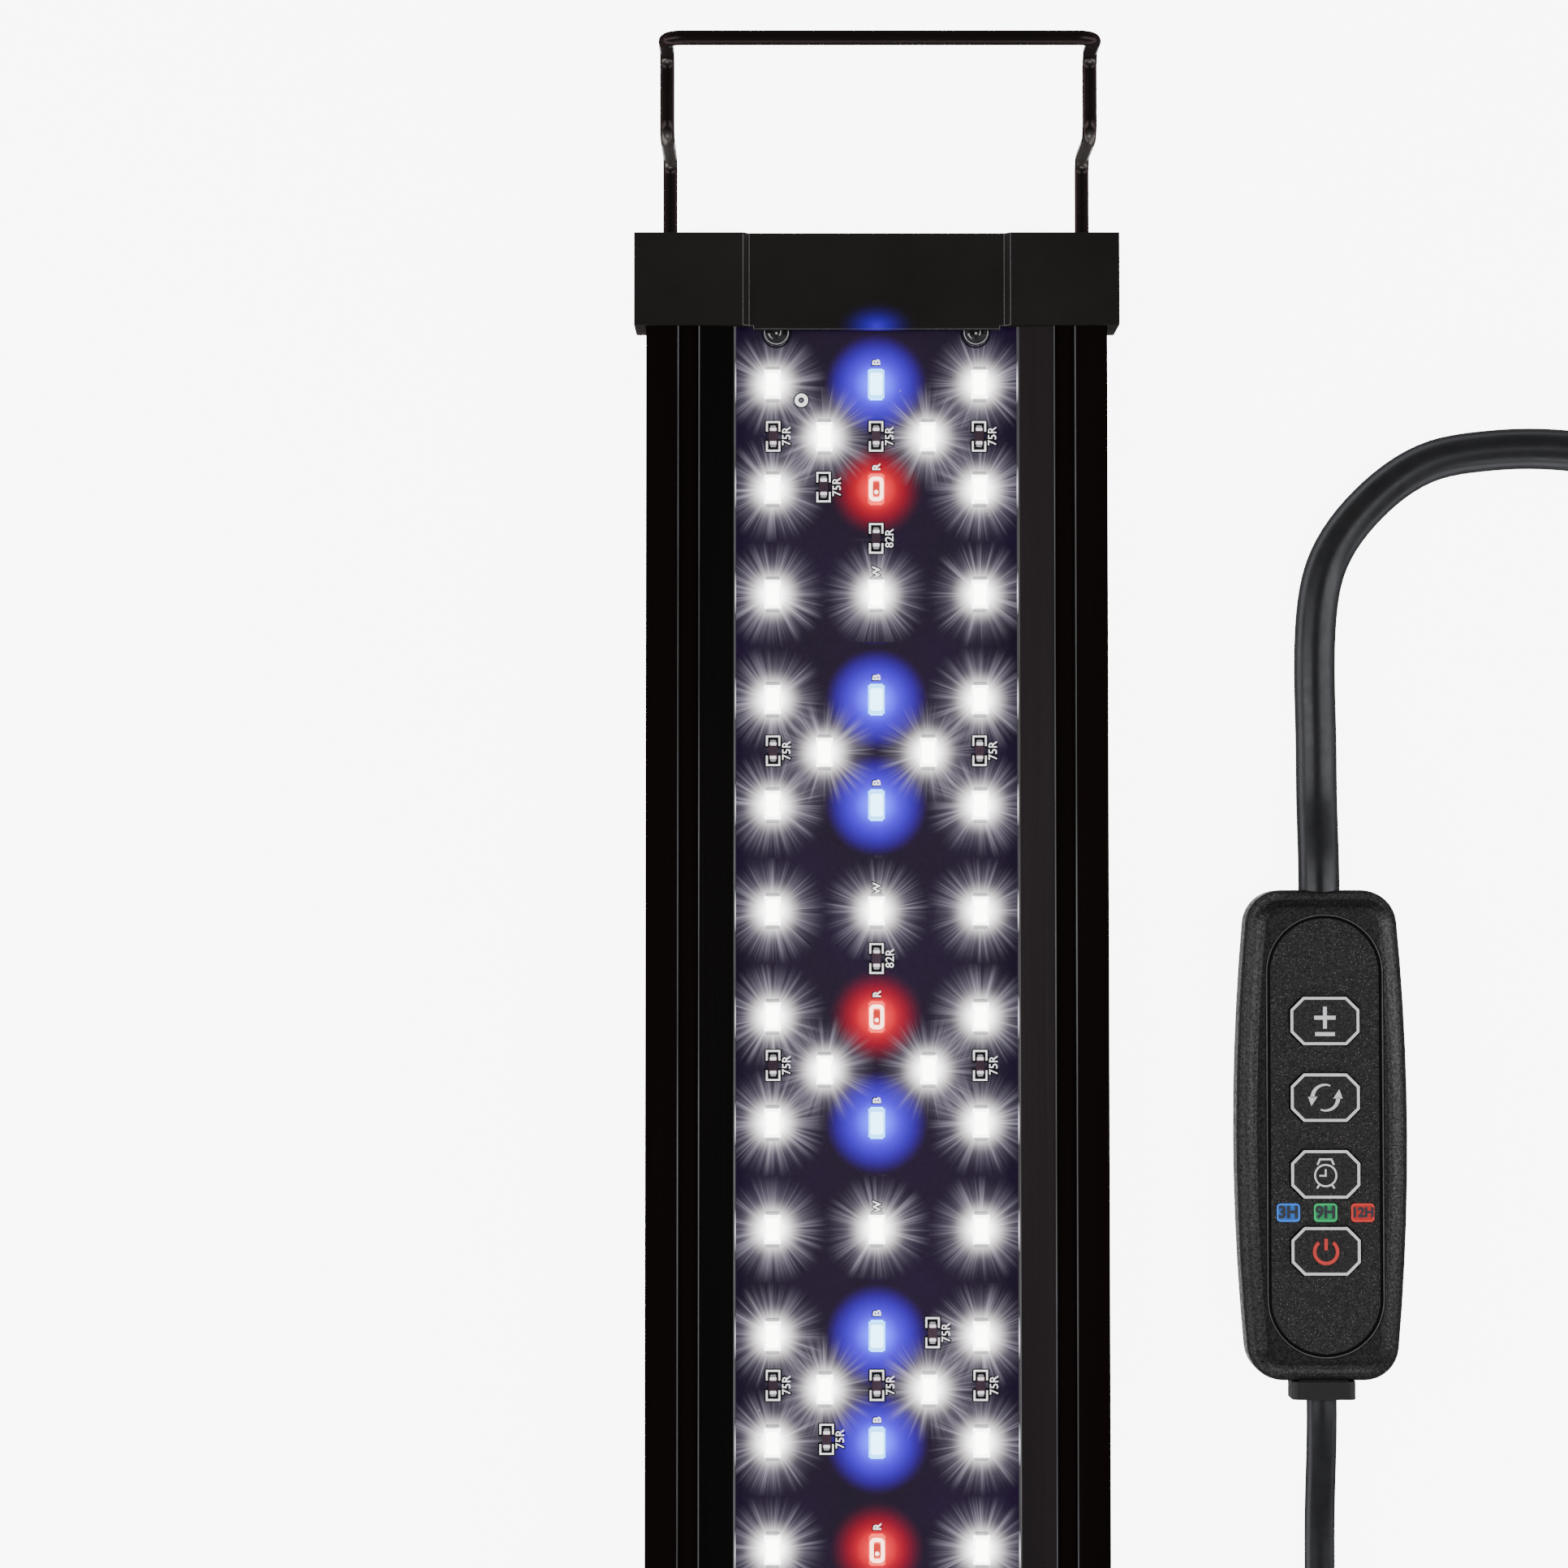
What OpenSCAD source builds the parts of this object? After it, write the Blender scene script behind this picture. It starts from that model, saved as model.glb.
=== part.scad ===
// LED aquarium lamp with sliding wire brackets and an inline timer controller.
// The lamp lies on its heat-sink side with the light side up (+Z) and its long
// axis along Y. The origin is under its middle, on the surface that it lies on.
// All sizes are in millimetres.

/* [Lamp body] */
// Length over both end caps
lamp_l = 307; // [300:1:315]
// Width of the aluminium profile
body_w = 84.6; // [84:0.1:85.2]
// Height from the resting pads to the light side of the caps
lamp_h = 17.5; // [17.3:0.1:18]
// Cooling fins on each side of the middle rib
fin_count = 5; // [3:1:5]
// Thickness of a cooling fin
fin_t = 0.9; // [0.7:0.1:1.1]
// Distance from one fin to the next
fin_pitch = 2.08; // [1.9:0.02:2.1]

/* [End caps] */
// Length of a cap along the lamp
cap_l = 17.1; // [16:0.1:18]
// How far a cap stands out past each side of the profile
cap_lip = 2.2; // [2:0.1:2.6]
// Thickness of a cap's closed end
cap_end = 3.2; // [3:0.1:3.6]
// Width of the hanger slot
slot_w = 4.8; // [4.6:0.1:5]
// Width of the clip that the hanger slot is cut in
clip_w = 10.7; // [10.4:0.1:11]

/* [Lights] */
// Rows of LEDs along the lamp
led_rows = 14; // [14:1:14]
// Distance from the middle row to each outer row of LEDs
led_column = 19.1; // [18.5:0.1:19.5]
// Width of one LED package
led_w = 3; // [2.8:0.1:3.2]
// Length of one LED package
led_l = 5.2; // [5:0.1:5.4]
// Thickness of the clear cover
lens_t = 1.2; // [1:0.1:1.2]

/* [Brackets] */
// Diameter of the bracket wire
wire_d = 2.6; // [2.4:0.1:2.8]
// Distance from the lamp's axis to each arm
arm_x = 38; // [37.8:0.1:38.2]
// How far the arms stand out of the cap as drawn
arm_out = 14.6; // [11:0.1:20]
// Rise of the first step
step_1 = 18.5; // [12:0.5:24]
// Length between the two steps
step_run = 15.3; // [10:0.1:20]
// Rise of the second step
step_2 = 12; // [8:0.5:20]
// Bend radius of the wire, at its middle
wire_bend = 3; // [2.5:0.1:3.5]

/* [Controller] */
// Length of the controller case
case_l = 90; // [88:1:94]
// Width of the case at its middle
case_w = 31.4; // [31:0.1:33]
// Height of the case
case_h = 13; // [13:0.1:13.5]
// Distance from one key to the next
key_pitch = 14; // [13.8:0.1:14.2]
// Travel of a key
key_travel = 0.4; // [0.3:0.1:0.4]

/* [Cords] */
// Diameter of the cord between lamp and controller
lamp_cord_d = 7.6; // [7:0.1:7.6]
// Diameter of the supply cord
supply_cord_d = 5.6; // [5:0.1:5.6]

/* [Hidden] */
$fn = 48;
skin = 0.01;

// Heights of the cross-section, from the resting pads up
cap_flat_z = 5;
cap_top_z = lamp_h;
cap_mid_z = lamp_h - 1.1;
rail_z = 2.3;
fin_z = 6.65;
flat_z = 8;
root_z = 8.5;
seat_z = 9.7;
board_z = 10;
board_t = 1.2;
board_top = board_z + board_t;
lens_z = 13.2;
rim_z = lamp_h - 1.1;

// Widths of the cross-section, from the lamp's axis out
rib_x = 2.8;
rail_in = 16.2;
rail_out = 20.8;
window_x = 26;
slope_x = 32.1;
groove_in = 32.7;
groove_out = 36.3;
side_x = body_w / 2;
cap_x = side_x + cap_lip;

// The hollow side channel that a bracket arm slides in
chan_in = 34.7;
chan_out = side_x - 1;
chan_low = 9.2;
chan_high = 15;
arm_z = (chan_low + chan_high) / 2;

// Places along the lamp
end_y = lamp_l / 2;
cap_in_y = end_y - cap_l;
pocket_y = end_y - cap_end;
gasket_t = 0.8;
body_l = 2 * (pocket_y - gasket_t);
fit = 0.15;

// Cap screws run in ports of the profile
port_x = 30.65;
port_r = 1.4;

// Light board
board_w = 2 * window_x;
board_l = lamp_l - 15;
first_row_y = cap_in_y - 10.1;
row_pitch = 2 * first_row_y / (led_rows - 1);
pair_x = led_column / 2;
led_h = 0.9;
board_screw = [18.4, cap_in_y - 0.6];
// Colour of the middle LED of each row, from +Y to -Y
middle_row = ["B", "R", "W", "B", "B", "W", "R", "B", "W", "B", "B", "R", "W", "B"];
// A pair of extra LEDs stands after each of these rows
pair_rows = [0, 3, 6, 9, 12];
// Places of the resistors on the board
resistor_places = [
    [-19, 116.7], [0, 116.7], [19, 116.7], [-9.7, 107.3], [0, 97.8],
    [-19, 58.6], [19, 58.6], [0, 20.4], [-19, 0.8], [19, 0.8], [10.2, -48],
    [-19, -57.6], [0, -57.6], [19, -57.6], [-9.2, -67.4], [0, -98],
    [-19, -116.6], [0, -116.6], [19, -116.6]
];

// Brackets
wire_r = wire_d / 2;
wire_gap = 0.08;
guide_l = 12;
guide_r = 2.75;
shoe_l = 12;
shoe_w = chan_out - chan_in - 0.6;
shoe_h = chan_high - chan_low - 0.6;
shoe_y = end_y - 89.5;
riser_y = end_y + arm_out;
bar_y = riser_y + step_run;
mid_z = arm_z + step_1;
bar_z = mid_z + step_2;

// Lamp's cord outlet, in the cap at -Y
outlet = [19, 11];
outlet_r = 3.6;
boot_l = 22;

// Controller
case_at = [82, -12, 0];
split_z = case_h / 2;
case_wall = 1.8;
case_bulge_r = 430;
case_corner = 6.5;
side_angle = asin((case_l / 2 - case_corner) / (case_bulge_r - case_corner));
corner_at = [
    case_w / 2 - case_bulge_r + (case_bulge_r - case_corner) * cos(side_angle),
    case_l / 2 - case_corner
];
panel_w = 22.8;
panel_l = 80.8;
panel_bulge_r = 430;
panel_end_r = 10.6;
web_z = case_h - 2;
recess_z = case_h - 1;
panel_t = 0.8;
key_w = 12.6;
key_l = 8.8;
key_cut = 2.3;
key_gap = 0.25;
key_top = case_h + 0.25;
flange_t = 0.8;
keys_y = [for (i = [0:3]) (1.5 - i) * key_pitch];
window_y = (keys_y[2] + keys_y[3]) / 2;
window_places = [-6.8, 0, 6.8];
window_size = [4.3, 3.4];
pcb_z = 3.5;
pcb_t = 1.1;
pcb_top = pcb_z + pcb_t;
switch_top = 9;
post = [9.5, 33];
case_boot_size = [11.7, 3.4, 8];
boot_neck = [9, 6];
boot_flange = [11.2, 1.5, 4.6];
boot_flange_y = case_wall + 0.6;

// Cords: the points are [x, y, z] of the cord's middle
lamp_route = [
    [19, -175.5, 11], [19, -180, 11], [19, -187, 10.7], [21.5, -199.5, 8.9],
    [28.5, -210, 6], [39.5, -217.5, 4.2], [52, -220, 3.8], [70, -221, 3.8],
    [90, -221.5, 3.8], [110, -221, 3.8], [130, -220, 3.8], [142.5, -217.5, 3.8],
    [153.5, -210, 3.8], [160.5, -199.5, 3.8], [163, -187, 3.8], [164, -165, 3.8],
    [164.5, -140, 3.8], [164.5, -110, 3.8], [164, -80, 3.8], [163, -50, 3.8],
    [162.5, -20, 3.8], [162, 10, 3.8], [162, 40, 3.8], [162, 64, 3.8], [162, 82, 3.8],
    [159.5, 94.5, 3.8], [152, 105, 3.8], [141.5, 112.5, 3.8], [129, 115, 3.8],
    [115, 115, 3.8], [102.5, 112.5, 3.8], [92, 105, 3.8], [84.5, 94.5, 3.8],
    [82, 82, 3.8], [82, 58, 3.8], [82, 50, 4.1], [82, 44, 5.1], [82, 38.5, 6.1],
    [82, 33, 6.5], [82, 27.4, 6.5]
];
supply_route = [
    [82, -60.4, 6.5], [82, -64, 6.5], [82, -69, 6], [82, -75, 4.7], [82, -81, 3.4],
    [82, -88, 2.8], [82, -104, 2.8], [81.6, -116, 2.8], [80.2, -130, 2.9],
    [78.6, -143, 3.2], [77.6, -154, 3.6], [77.4, -160, 3.7]
];
lead_route = [
    [106, -135.4, 13.7], [99, -135, 14.1], [92, -134.7, 13], [85, -134.8, 11],
    [78, -136.2, 9], [71, -139.4, 7.3], [64.5, -145, 6.1], [60.5, -153.5, 5.6],
    [59, -160, 5.5], [59, -164, 5.5]
];
coil_at = [112, -164, 0];
coil_in = 20.4;
coil_out = 37.4;
coil_low = 0.9;
tie_w = 4;
tie_t = 0.8;
tie_gap = 0.1;

// Plug, 5.5 mm outside and 2.1 mm inside
plug_at = [59, -164, 5.5];
grip_l = 28;
barrel_l = 9.5;
barrel_r = 2.75;
tail_l = 3;
tail_r = 2.6;
insulator_r = 2.45;
contact_r = 1.55;
plug_bore_r = 1.05;

// Draws a flat outline in X and Z and gives it length l along Y, from y0 up
module along_y(y0, l) {
    translate([0, y0 + l, 0])
        rotate([90, 0, 0])
            linear_extrude(l)
                children();
}

// Draws its children on both sides of the lamp's long axis
module both_sides() {
    for (s = [0, 1])
        mirror([s, 0, 0])
            children();
}

// Draws a cylinder along Y from y0 for length l, at x and z
module rod_y(x, z, y0, l, r) {
    translate([x, y0 + l, z])
        rotate([90, 0, 0])
            cylinder(h = l, r = r);
}

// ---- Lamp body ----

// Right half of the solid outline of the aluminium profile
module body_half() {
    notch = 0.35;
    notch_low = rim_z - 5.5;
    notch_high = rim_z - 2.5;
    polygon([
        [-skin, root_z], [rail_in, root_z], [rail_in, rail_z], [rail_out, rail_z],
        [rail_out, flat_z], [side_x, flat_z],
        [side_x, notch_low - notch], [side_x - notch, notch_low],
        [side_x, notch_low + notch],
        [side_x, notch_high - notch], [side_x - notch, notch_high],
        [side_x, notch_high + notch],
        [side_x, rim_z], [groove_out, rim_z], [groove_out, rim_z - 0.7],
        [groove_in, rim_z - 0.7], [groove_in, rim_z], [slope_x, rim_z],
        [window_x, rim_z - 1.2], [window_x, lens_z + lens_t + 0.1],
        [window_x + 1.3, lens_z + lens_t + 0.1], [window_x + 1.3, lens_z - 0.1],
        [window_x + 0.2, lens_z - 0.1], [window_x + 0.2, seat_z], [-skin, seat_z]
    ]);
    translate([-skin, fin_z])
        square([rib_x + skin, root_z - fin_z + skin]);
    for (i = [0:fin_count - 1])
        translate([rib_x + (i + 1) * fin_pitch, fin_z])
            square([fin_t, root_z - fin_z + skin]);
}

// Hollows of the right half: rail, screw chamber and bracket channel
module body_hollows() {
    translate([rail_in + 1.1, rail_z + 1.1])
        square([rail_out - rail_in - 2.2, flat_z - rail_z - 2]);
    difference() {
        translate([28.5, chan_low])
            square([4.3, chan_high - chan_low]);
        translate([port_x, arm_z])
            circle(r = 2.4);
    }
    translate([port_x, arm_z])
        circle(r = port_r);
    translate([chan_in, chan_low])
        square([chan_out - chan_in, chan_high - chan_low]);
}

module heat_sink() {
    color([0.13, 0.12, 0.12])
        difference() {
            along_y(-body_l / 2, body_l)
                difference() {
                    both_sides() body_half();
                    both_sides() body_hollows();
                }
            for (sx = [-1, 1], sy = [-1, 1])
                translate([sx * board_screw[0], sy * board_screw[1], flat_z - 0.9])
                    cylinder(h = 3, r = 1.13);
        }
}

// ---- End caps ----

// Right half of the outside of a cap
module cap_half() {
    polygon([
        [-skin, 0], [clip_w / 2, 0], [clip_w / 2, cap_flat_z], [14.5, cap_flat_z],
        [14.7, 0], [22.8, 0], [23.2, cap_flat_z], [cap_x, cap_flat_z],
        [cap_x, cap_top_z], [24.5, cap_top_z], [23.4, cap_mid_z], [-skin, cap_mid_z]
    ]);
    for (i = [1:fin_count - 2])
        translate([rib_x + (i + 1) * fin_pitch, cap_flat_z - 1])
            square([fin_t, 1 + skin]);
}

// Right half of the profile's end face, larger all round by gap
module end_half(gap) {
    polygon([
        [-skin, fin_z - gap], [rail_in - gap, fin_z - gap],
        [rail_in - gap, rail_z - gap], [rail_out + gap, rail_z - gap],
        [rail_out + gap, flat_z - gap], [side_x + gap, flat_z - gap],
        [side_x + gap, rim_z + gap / 2], [slope_x - gap, rim_z + gap / 2],
        [window_x - gap, rim_z - 1.1], [window_x - gap, lens_z + lens_t + 0.1],
        [-skin, lens_z + lens_t + 0.1]
    ]);
}

// Slot for a hanger, open at the cap's end, with a chamfered mouth
module hanger_slot() {
    mouth = 1.5;
    stop_y = cap_in_y + 1.9;
    translate([0, 0, -1])
        linear_extrude(cap_flat_z + 0.6)
            polygon([
                [-slot_w / 2, stop_y], [slot_w / 2, stop_y], [slot_w / 2, end_y - 3],
                [slot_w / 2 + mouth, end_y + skin], [slot_w / 2 + mouth, end_y + 1],
                [-slot_w / 2 - mouth, end_y + 1], [-slot_w / 2 - mouth, end_y + skin],
                [-slot_w / 2, end_y - 3]
            ]);
}

// The cap at +Y
module end_cap() {
    difference() {
        union() {
            difference() {
                along_y(cap_in_y, cap_l)
                    both_sides() cap_half();
                along_y(cap_in_y - 1, cap_l - cap_end + 1)
                    both_sides() end_half(fit);
            }
            // Lip that closes the cap over the clear cover
            translate([-22.6, cap_in_y - 0.6, lens_z + lens_t + 0.3])
                cube([45.2, 1, cap_mid_z - lens_z - lens_t - 0.3]);
            for (s = [-1, 1])
                rod_y(s * arm_x, arm_z, pocket_y - guide_l, guide_l + 1, guide_r);
        }
        hanger_slot();
        for (s = [-1, 1]) {
            rod_y(s * arm_x, arm_z, pocket_y - guide_l - 1, guide_l + cap_end + 2,
                  wire_r + wire_gap);
            rod_y(s * port_x, arm_z, pocket_y - 1, cap_end + 2, 1.7);
            rod_y(s * port_x, arm_z, end_y - 1.8, 3, 3);
        }
    }
}

module end_cap_top() {
    color([0.12, 0.115, 0.115]) end_cap();
}

module end_cap_bottom() {
    color([0.12, 0.115, 0.115])
        difference() {
            rotate([0, 0, 180]) end_cap();
            rod_y(outlet[0], outlet[1], -end_y - 1, cap_end + 2, outlet_r + 0.05);
        }
}

// Seal between the profile's end and the cap, at +Y
module gasket() {
    along_y(pocket_y - gasket_t, gasket_t)
        difference() {
            both_sides() end_half(0);
            both_sides() {
                translate([arm_x, arm_z]) circle(r = guide_r + 0.1);
                translate([port_x, arm_z]) circle(r = 1.7);
            }
        }
}

module gasket_top() {
    color([0.32, 0.32, 0.33]) gasket();
}

module gasket_bottom() {
    color([0.32, 0.32, 0.33])
        difference() {
            rotate([0, 0, 180]) gasket();
            translate([outlet[0] - 4.5, -pocket_y - 1, board_top - 0.2])
                cube([9, 3, 1.8]);
        }
}

module cap_screws() {
    head_l = 1.6;
    shank_l = 12;
    color([0.75, 0.75, 0.77])
        for (sx = [-1, 1], sy = [-1, 1])
            translate([sx * port_x, sy * (end_y - 1.8), arm_z])
                rotate([sy * -90, 0, 0])
                    difference() {
                        union() {
                            cylinder(h = head_l, r = 2.75);
                            translate([0, 0, -shank_l])
                                cylinder(h = shank_l + skin, r = port_r - 0.03);
                        }
                        for (a = [0, 90])
                            rotate([0, 0, a])
                                translate([-1.5, -0.3, head_l - 0.8])
                                    cube([3, 0.6, 1]);
                    }
}

// ---- Light board ----

module thermal_pad() {
    color([0.6, 0.6, 0.62])
        translate([-window_x + 1, -130, seat_z])
            cube([board_w - 2, 260, board_z - seat_z]);
}

module led_board() {
    color([0.07, 0.07, 0.08])
        difference() {
            translate([-board_w / 2, -board_l / 2, board_z])
                cube([board_w, board_l, board_t]);
            for (sx = [-1, 1], sy = [-1, 1])
                translate([sx * board_screw[0], sy * board_screw[1], board_z - 1])
                    cylinder(h = board_t + 2, r = 1.4);
        }
}

// One LED package: its body and the two soldered ends
module led(x, y) {
    ends_l = led_l + 0.6;
    translate([x - led_w / 2, y - led_l / 2, board_top])
        cube([led_w, led_l, led_h]);
    translate([x - led_w / 2 + 0.35, y - ends_l / 2, board_top])
        cube([led_w - 0.7, ends_l, 0.25]);
}

// LEDs of the middle row that have one colour
module middle_leds(colour) {
    for (i = [0:led_rows - 1])
        if (middle_row[i] == colour)
            led(0, first_row_y - i * row_pitch);
}

module white_leds() {
    color([0.98, 0.96, 0.85]) {
        for (i = [0:led_rows - 1], s = [-1, 1])
            led(s * led_column, first_row_y - i * row_pitch);
        for (i = pair_rows, s = [-1, 1])
            led(s * pair_x, first_row_y - (i + 0.5) * row_pitch);
        middle_leds("W");
    }
}

module blue_leds() {
    color([0.15, 0.3, 0.95]) middle_leds("B");
}

module red_leds() {
    color([0.9, 0.1, 0.1]) middle_leds("R");
}

module resistors() {
    color([0.1, 0.1, 0.1])
        for (p = resistor_places)
            translate([p[0] - 0.8, p[1] - 1.6, board_top])
                cube([1.6, 3.2, 0.55]);
}

module board_screws() {
    head_h = 1.5;
    color([0.5, 0.5, 0.52])
        for (sx = [-1, 1], sy = [-1, 1])
            translate([sx * board_screw[0], sy * board_screw[1], board_top])
                difference() {
                    union() {
                        cylinder(h = head_h, r = 2.3);
                        translate([0, 0, -3.6])
                            cylinder(h = 3.6 + skin, r = 1.1);
                    }
                    for (a = [0, 90])
                        rotate([0, 0, a])
                            translate([-1.3, -0.25, head_h - 0.7])
                                cube([2.6, 0.5, 1]);
                }
}

module lens() {
    color([0.85, 0.9, 0.92, 0.35])
        translate([-window_x - 1.2, -body_l / 2 + 0.2, lens_z])
            cube([2 * window_x + 2.4, body_l - 0.4, lens_t]);
}

// Insulated wires from the cord's outlet to the board's pads
module board_leads() {
    lead_r = 0.5;
    color([0.7, 0.12, 0.1])
        for (i = [-2:2])
            rod_y(outlet[0] + i * 1.3, board_top + lead_r + 0.02, -pocket_y, 9, lead_r);
}

// ---- Sliding brackets ----

// Quarter bend of the wire: starts at the origin along +Y and turns up to +Z
module wire_turn_up() {
    translate([0, 0, wire_bend])
        rotate([0, 90, 0])
            rotate_extrude(angle = 90)
                translate([wire_bend, 0])
                    circle(r = wire_r);
}

// Quarter bend of the wire: starts at the origin along +Z and turns to +Y
module wire_turn_out() {
    translate([0, wire_bend, 0])
        rotate([0, -90, 0])
            rotate([0, 0, -90])
                rotate_extrude(angle = 90)
                    translate([wire_bend, 0])
                        circle(r = wire_r);
}

// One arm, at x = 0, from inside the channel up to the last bend
module bracket_arm() {
    rod_y(0, arm_z, shoe_y + 2, riser_y - wire_bend - shoe_y - 2, wire_r);
    translate([0, riser_y - wire_bend, arm_z]) wire_turn_up();
    translate([0, riser_y, arm_z + wire_bend])
        cylinder(h = step_1 - 2 * wire_bend, r = wire_r);
    translate([0, riser_y, mid_z - wire_bend]) wire_turn_out();
    rod_y(0, mid_z, riser_y + wire_bend, step_run - 2 * wire_bend, wire_r);
    translate([0, bar_y - wire_bend, mid_z]) wire_turn_up();
    translate([0, bar_y, mid_z + wire_bend])
        cylinder(h = step_2 - 2 * wire_bend, r = wire_r);
}

// The bracket at +Y: two stepped arms joined by a cross bar
module bracket() {
    both_sides()
        translate([arm_x, 0, 0]) {
            bracket_arm();
            translate([0, bar_y, bar_z - wire_bend])
                rotate([0, 0, 90]) wire_turn_out();
        }
    translate([-arm_x + wire_bend, bar_y, bar_z])
        rotate([0, 90, 0])
            cylinder(h = 2 * (arm_x - wire_bend), r = wire_r);
}

module bracket_top() {
    color([0.05, 0.05, 0.05]) bracket();
}

module bracket_bottom() {
    color([0.05, 0.05, 0.05]) rotate([0, 0, 180]) bracket();
}

// Nylon shoes on the inner ends of the arms, which guide them in the channels
module shoes() {
    chan_x = (chan_in + chan_out) / 2;
    for (s = [-1, 1])
        difference() {
            translate([s * chan_x - shoe_w / 2, shoe_y, arm_z - shoe_h / 2])
                cube([shoe_w, shoe_l, shoe_h]);
            rod_y(s * arm_x, arm_z, shoe_y + 2, shoe_l, wire_r);
        }
}

module bracket_shoes_top() {
    color([0.85, 0.85, 0.8]) shoes();
}

module bracket_shoes_bottom() {
    color([0.85, 0.85, 0.8]) rotate([0, 0, 180]) shoes();
}

// Tapered strain relief where the cord leaves the lamp
module cord_boot() {
    tip_r = lamp_cord_d / 2 + 0.6;
    rib = 0.5;
    color([0.09, 0.09, 0.09])
        translate([outlet[0], -end_y, outlet[1]])
            rotate([90, 0, 0]) {
                rotate_extrude()
                    polygon([
                        [0, -cap_end], [outlet_r, -cap_end], [outlet_r, 0], [5.2, 0],
                        [5.2, 2], [4.9, 2.6], [tip_r, boot_l], [0, boot_l]
                    ]);
                for (i = [0:3])
                    translate([0, 0, 5 + 4 * i])
                        cylinder(h = 1.6, r = 4.9 + rib - 0.12 * i);
            }
}

// ---- Controller ----

// One quarter of the case's outline, drawn in by inset, from +X round to +Y
function case_quarter(inset) = concat(
    [for (i = [0:5])
        let (a = side_angle * i / 5)
        [case_w / 2 - case_bulge_r + (case_bulge_r - inset) * cos(a),
         (case_bulge_r - inset) * sin(a)]],
    [for (i = [1:8])
        let (a = side_angle + (90 - side_angle) * i / 8)
        corner_at + (case_corner - inset) * [cos(a), sin(a)]]
);

// The whole outline at height z, as points that run round from +X through +Y
function case_ring(z, inset) =
    let (q = case_quarter(inset), n = len(q) - 1)
    concat(
        [for (i = [0:n]) [q[i][0], q[i][1], z]],
        [for (i = [n:-1:0]) [-q[i][0], q[i][1], z]],
        [for (i = [1:n]) [-q[i][0], -q[i][1], z]],
        [for (i = [n:-1:1]) [q[i][0], -q[i][1], z]]
    );

// One closed solid through a list of rings that have the same number of points
module loft(rings) {
    sides = len(rings[0]);
    last = len(rings) - 1;
    walls = [
        for (i = [0:last - 1], k = [0:sides - 1])
            let (next = (k + 1) % sides)
            [i * sides + k, (i + 1) * sides + k, (i + 1) * sides + next, i * sides + next]
    ];
    first_face = [for (k = [0:sides - 1]) k];
    last_face = [for (k = [sides - 1:-1:0]) last * sides + k];
    polyhedron(points = [for (r = rings) each r], faces = concat([first_face], walls, [last_face]));
}

// A solid with the case's outline: pairs of [height, inset], from the lowest up
module pillow(levels) {
    loft([for (level = levels) case_ring(level[0], level[1])]);
}

// Levels of a rounded top edge from height z0 to z1 that runs in by run
function top_levels(z0, z1, run, steps = 8) =
    [for (i = [0:steps])
        [z0 + (z1 - z0) * sin(90 * i / steps), run * (1 - cos(90 * i / steps))]];

// Levels of a rounded bottom edge from height 0 to rise that runs out by rise
function bottom_levels(rise, steps = 6) =
    [for (i = [0:steps])
        [rise * (1 - cos(90 * i / steps)), rise * (1 - sin(90 * i / steps))]];

// Outline of the sunk panel, larger all round by grow
module panel_outline(grow) {
    arc_y = panel_l / 2 - panel_end_r;
    intersection() {
        hull()
            for (s = [-1, 1])
                translate([0, s * arc_y])
                    circle(r = panel_end_r + grow, $fn = 64);
        for (s = [0, 1])
            mirror([s, 0])
                translate([panel_w / 2 + grow - panel_bulge_r, 0])
                    circle(r = panel_bulge_r, $fn = 720);
    }
}

// Eight-sided outline of a key, larger all round by grow
module key_outline(grow) {
    x = key_w / 2 + grow;
    y = key_l / 2 + grow;
    cut = key_cut + grow * 0.6;
    polygon([
        [-x, -y + cut], [-x + cut, -y], [x - cut, -y], [x, -y + cut],
        [x, y - cut], [x - cut, y], [-x + cut, y], [-x, y - cut]
    ]);
}

// Holes in the case's end walls for the cord above and the strain relief below
module case_end_holes() {
    rod_y(0, split_z, case_l / 2 - 6, 8, lamp_cord_d / 2 + 0.05);
    translate([-boot_neck[0] / 2 - 0.05, -case_l / 2 - 1, split_z - boot_neck[1] / 2 - 0.05])
        cube([boot_neck[0] + 0.1, case_wall + 4, boot_neck[1] + 0.1]);
}

// Draws its children at each screw post
module at_posts() {
    for (sx = [-1, 1], sy = [-1, 1])
        translate([sx * post[0], sy * post[1], 0])
            children();
}

module case_upper() {
    color([0.11, 0.11, 0.11])
        translate(case_at)
            difference() {
                union() {
                    difference() {
                        pillow(concat([[split_z, 0]], top_levels(case_h - 4.6, case_h, 4)));
                        pillow([
                            [split_z - 1, case_wall], [case_h - 4.2, 2.3], [web_z, 4.4]
                        ]);
                    }
                    at_posts()
                        translate([0, 0, pcb_top])
                            cylinder(h = web_z - pcb_top + 0.5, r = 2.2);
                }
                translate([0, 0, recess_z])
                    linear_extrude(2) panel_outline(key_gap);
                for (y = keys_y)
                    translate([0, y, web_z - 1])
                        linear_extrude(3) key_outline(key_gap);
                for (x = window_places)
                    translate([x, window_y, web_z - 1])
                        cylinder(h = 3, r = 1);
                at_posts()
                    translate([0, 0, pcb_top - 1])
                        cylinder(h = 6, r = 0.9);
                case_end_holes();
            }
}

module case_lower() {
    color([0.11, 0.11, 0.11])
        translate(case_at)
            difference() {
                union() {
                    difference() {
                        pillow(concat(bottom_levels(3), [[split_z, 0]]));
                        pillow([
                            [case_wall, 4], [3.4, 2.2], [split_z + 1, case_wall]
                        ]);
                    }
                    at_posts()
                        translate([0, 0, 1])
                            cylinder(h = pcb_z - 1, r = 2.2);
                }
                at_posts() {
                    translate([0, 0, -1]) cylinder(h = 2.4, r = 2.05);
                    cylinder(h = 6, r = 1.1);
                }
                case_end_holes();
            }
}

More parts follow.
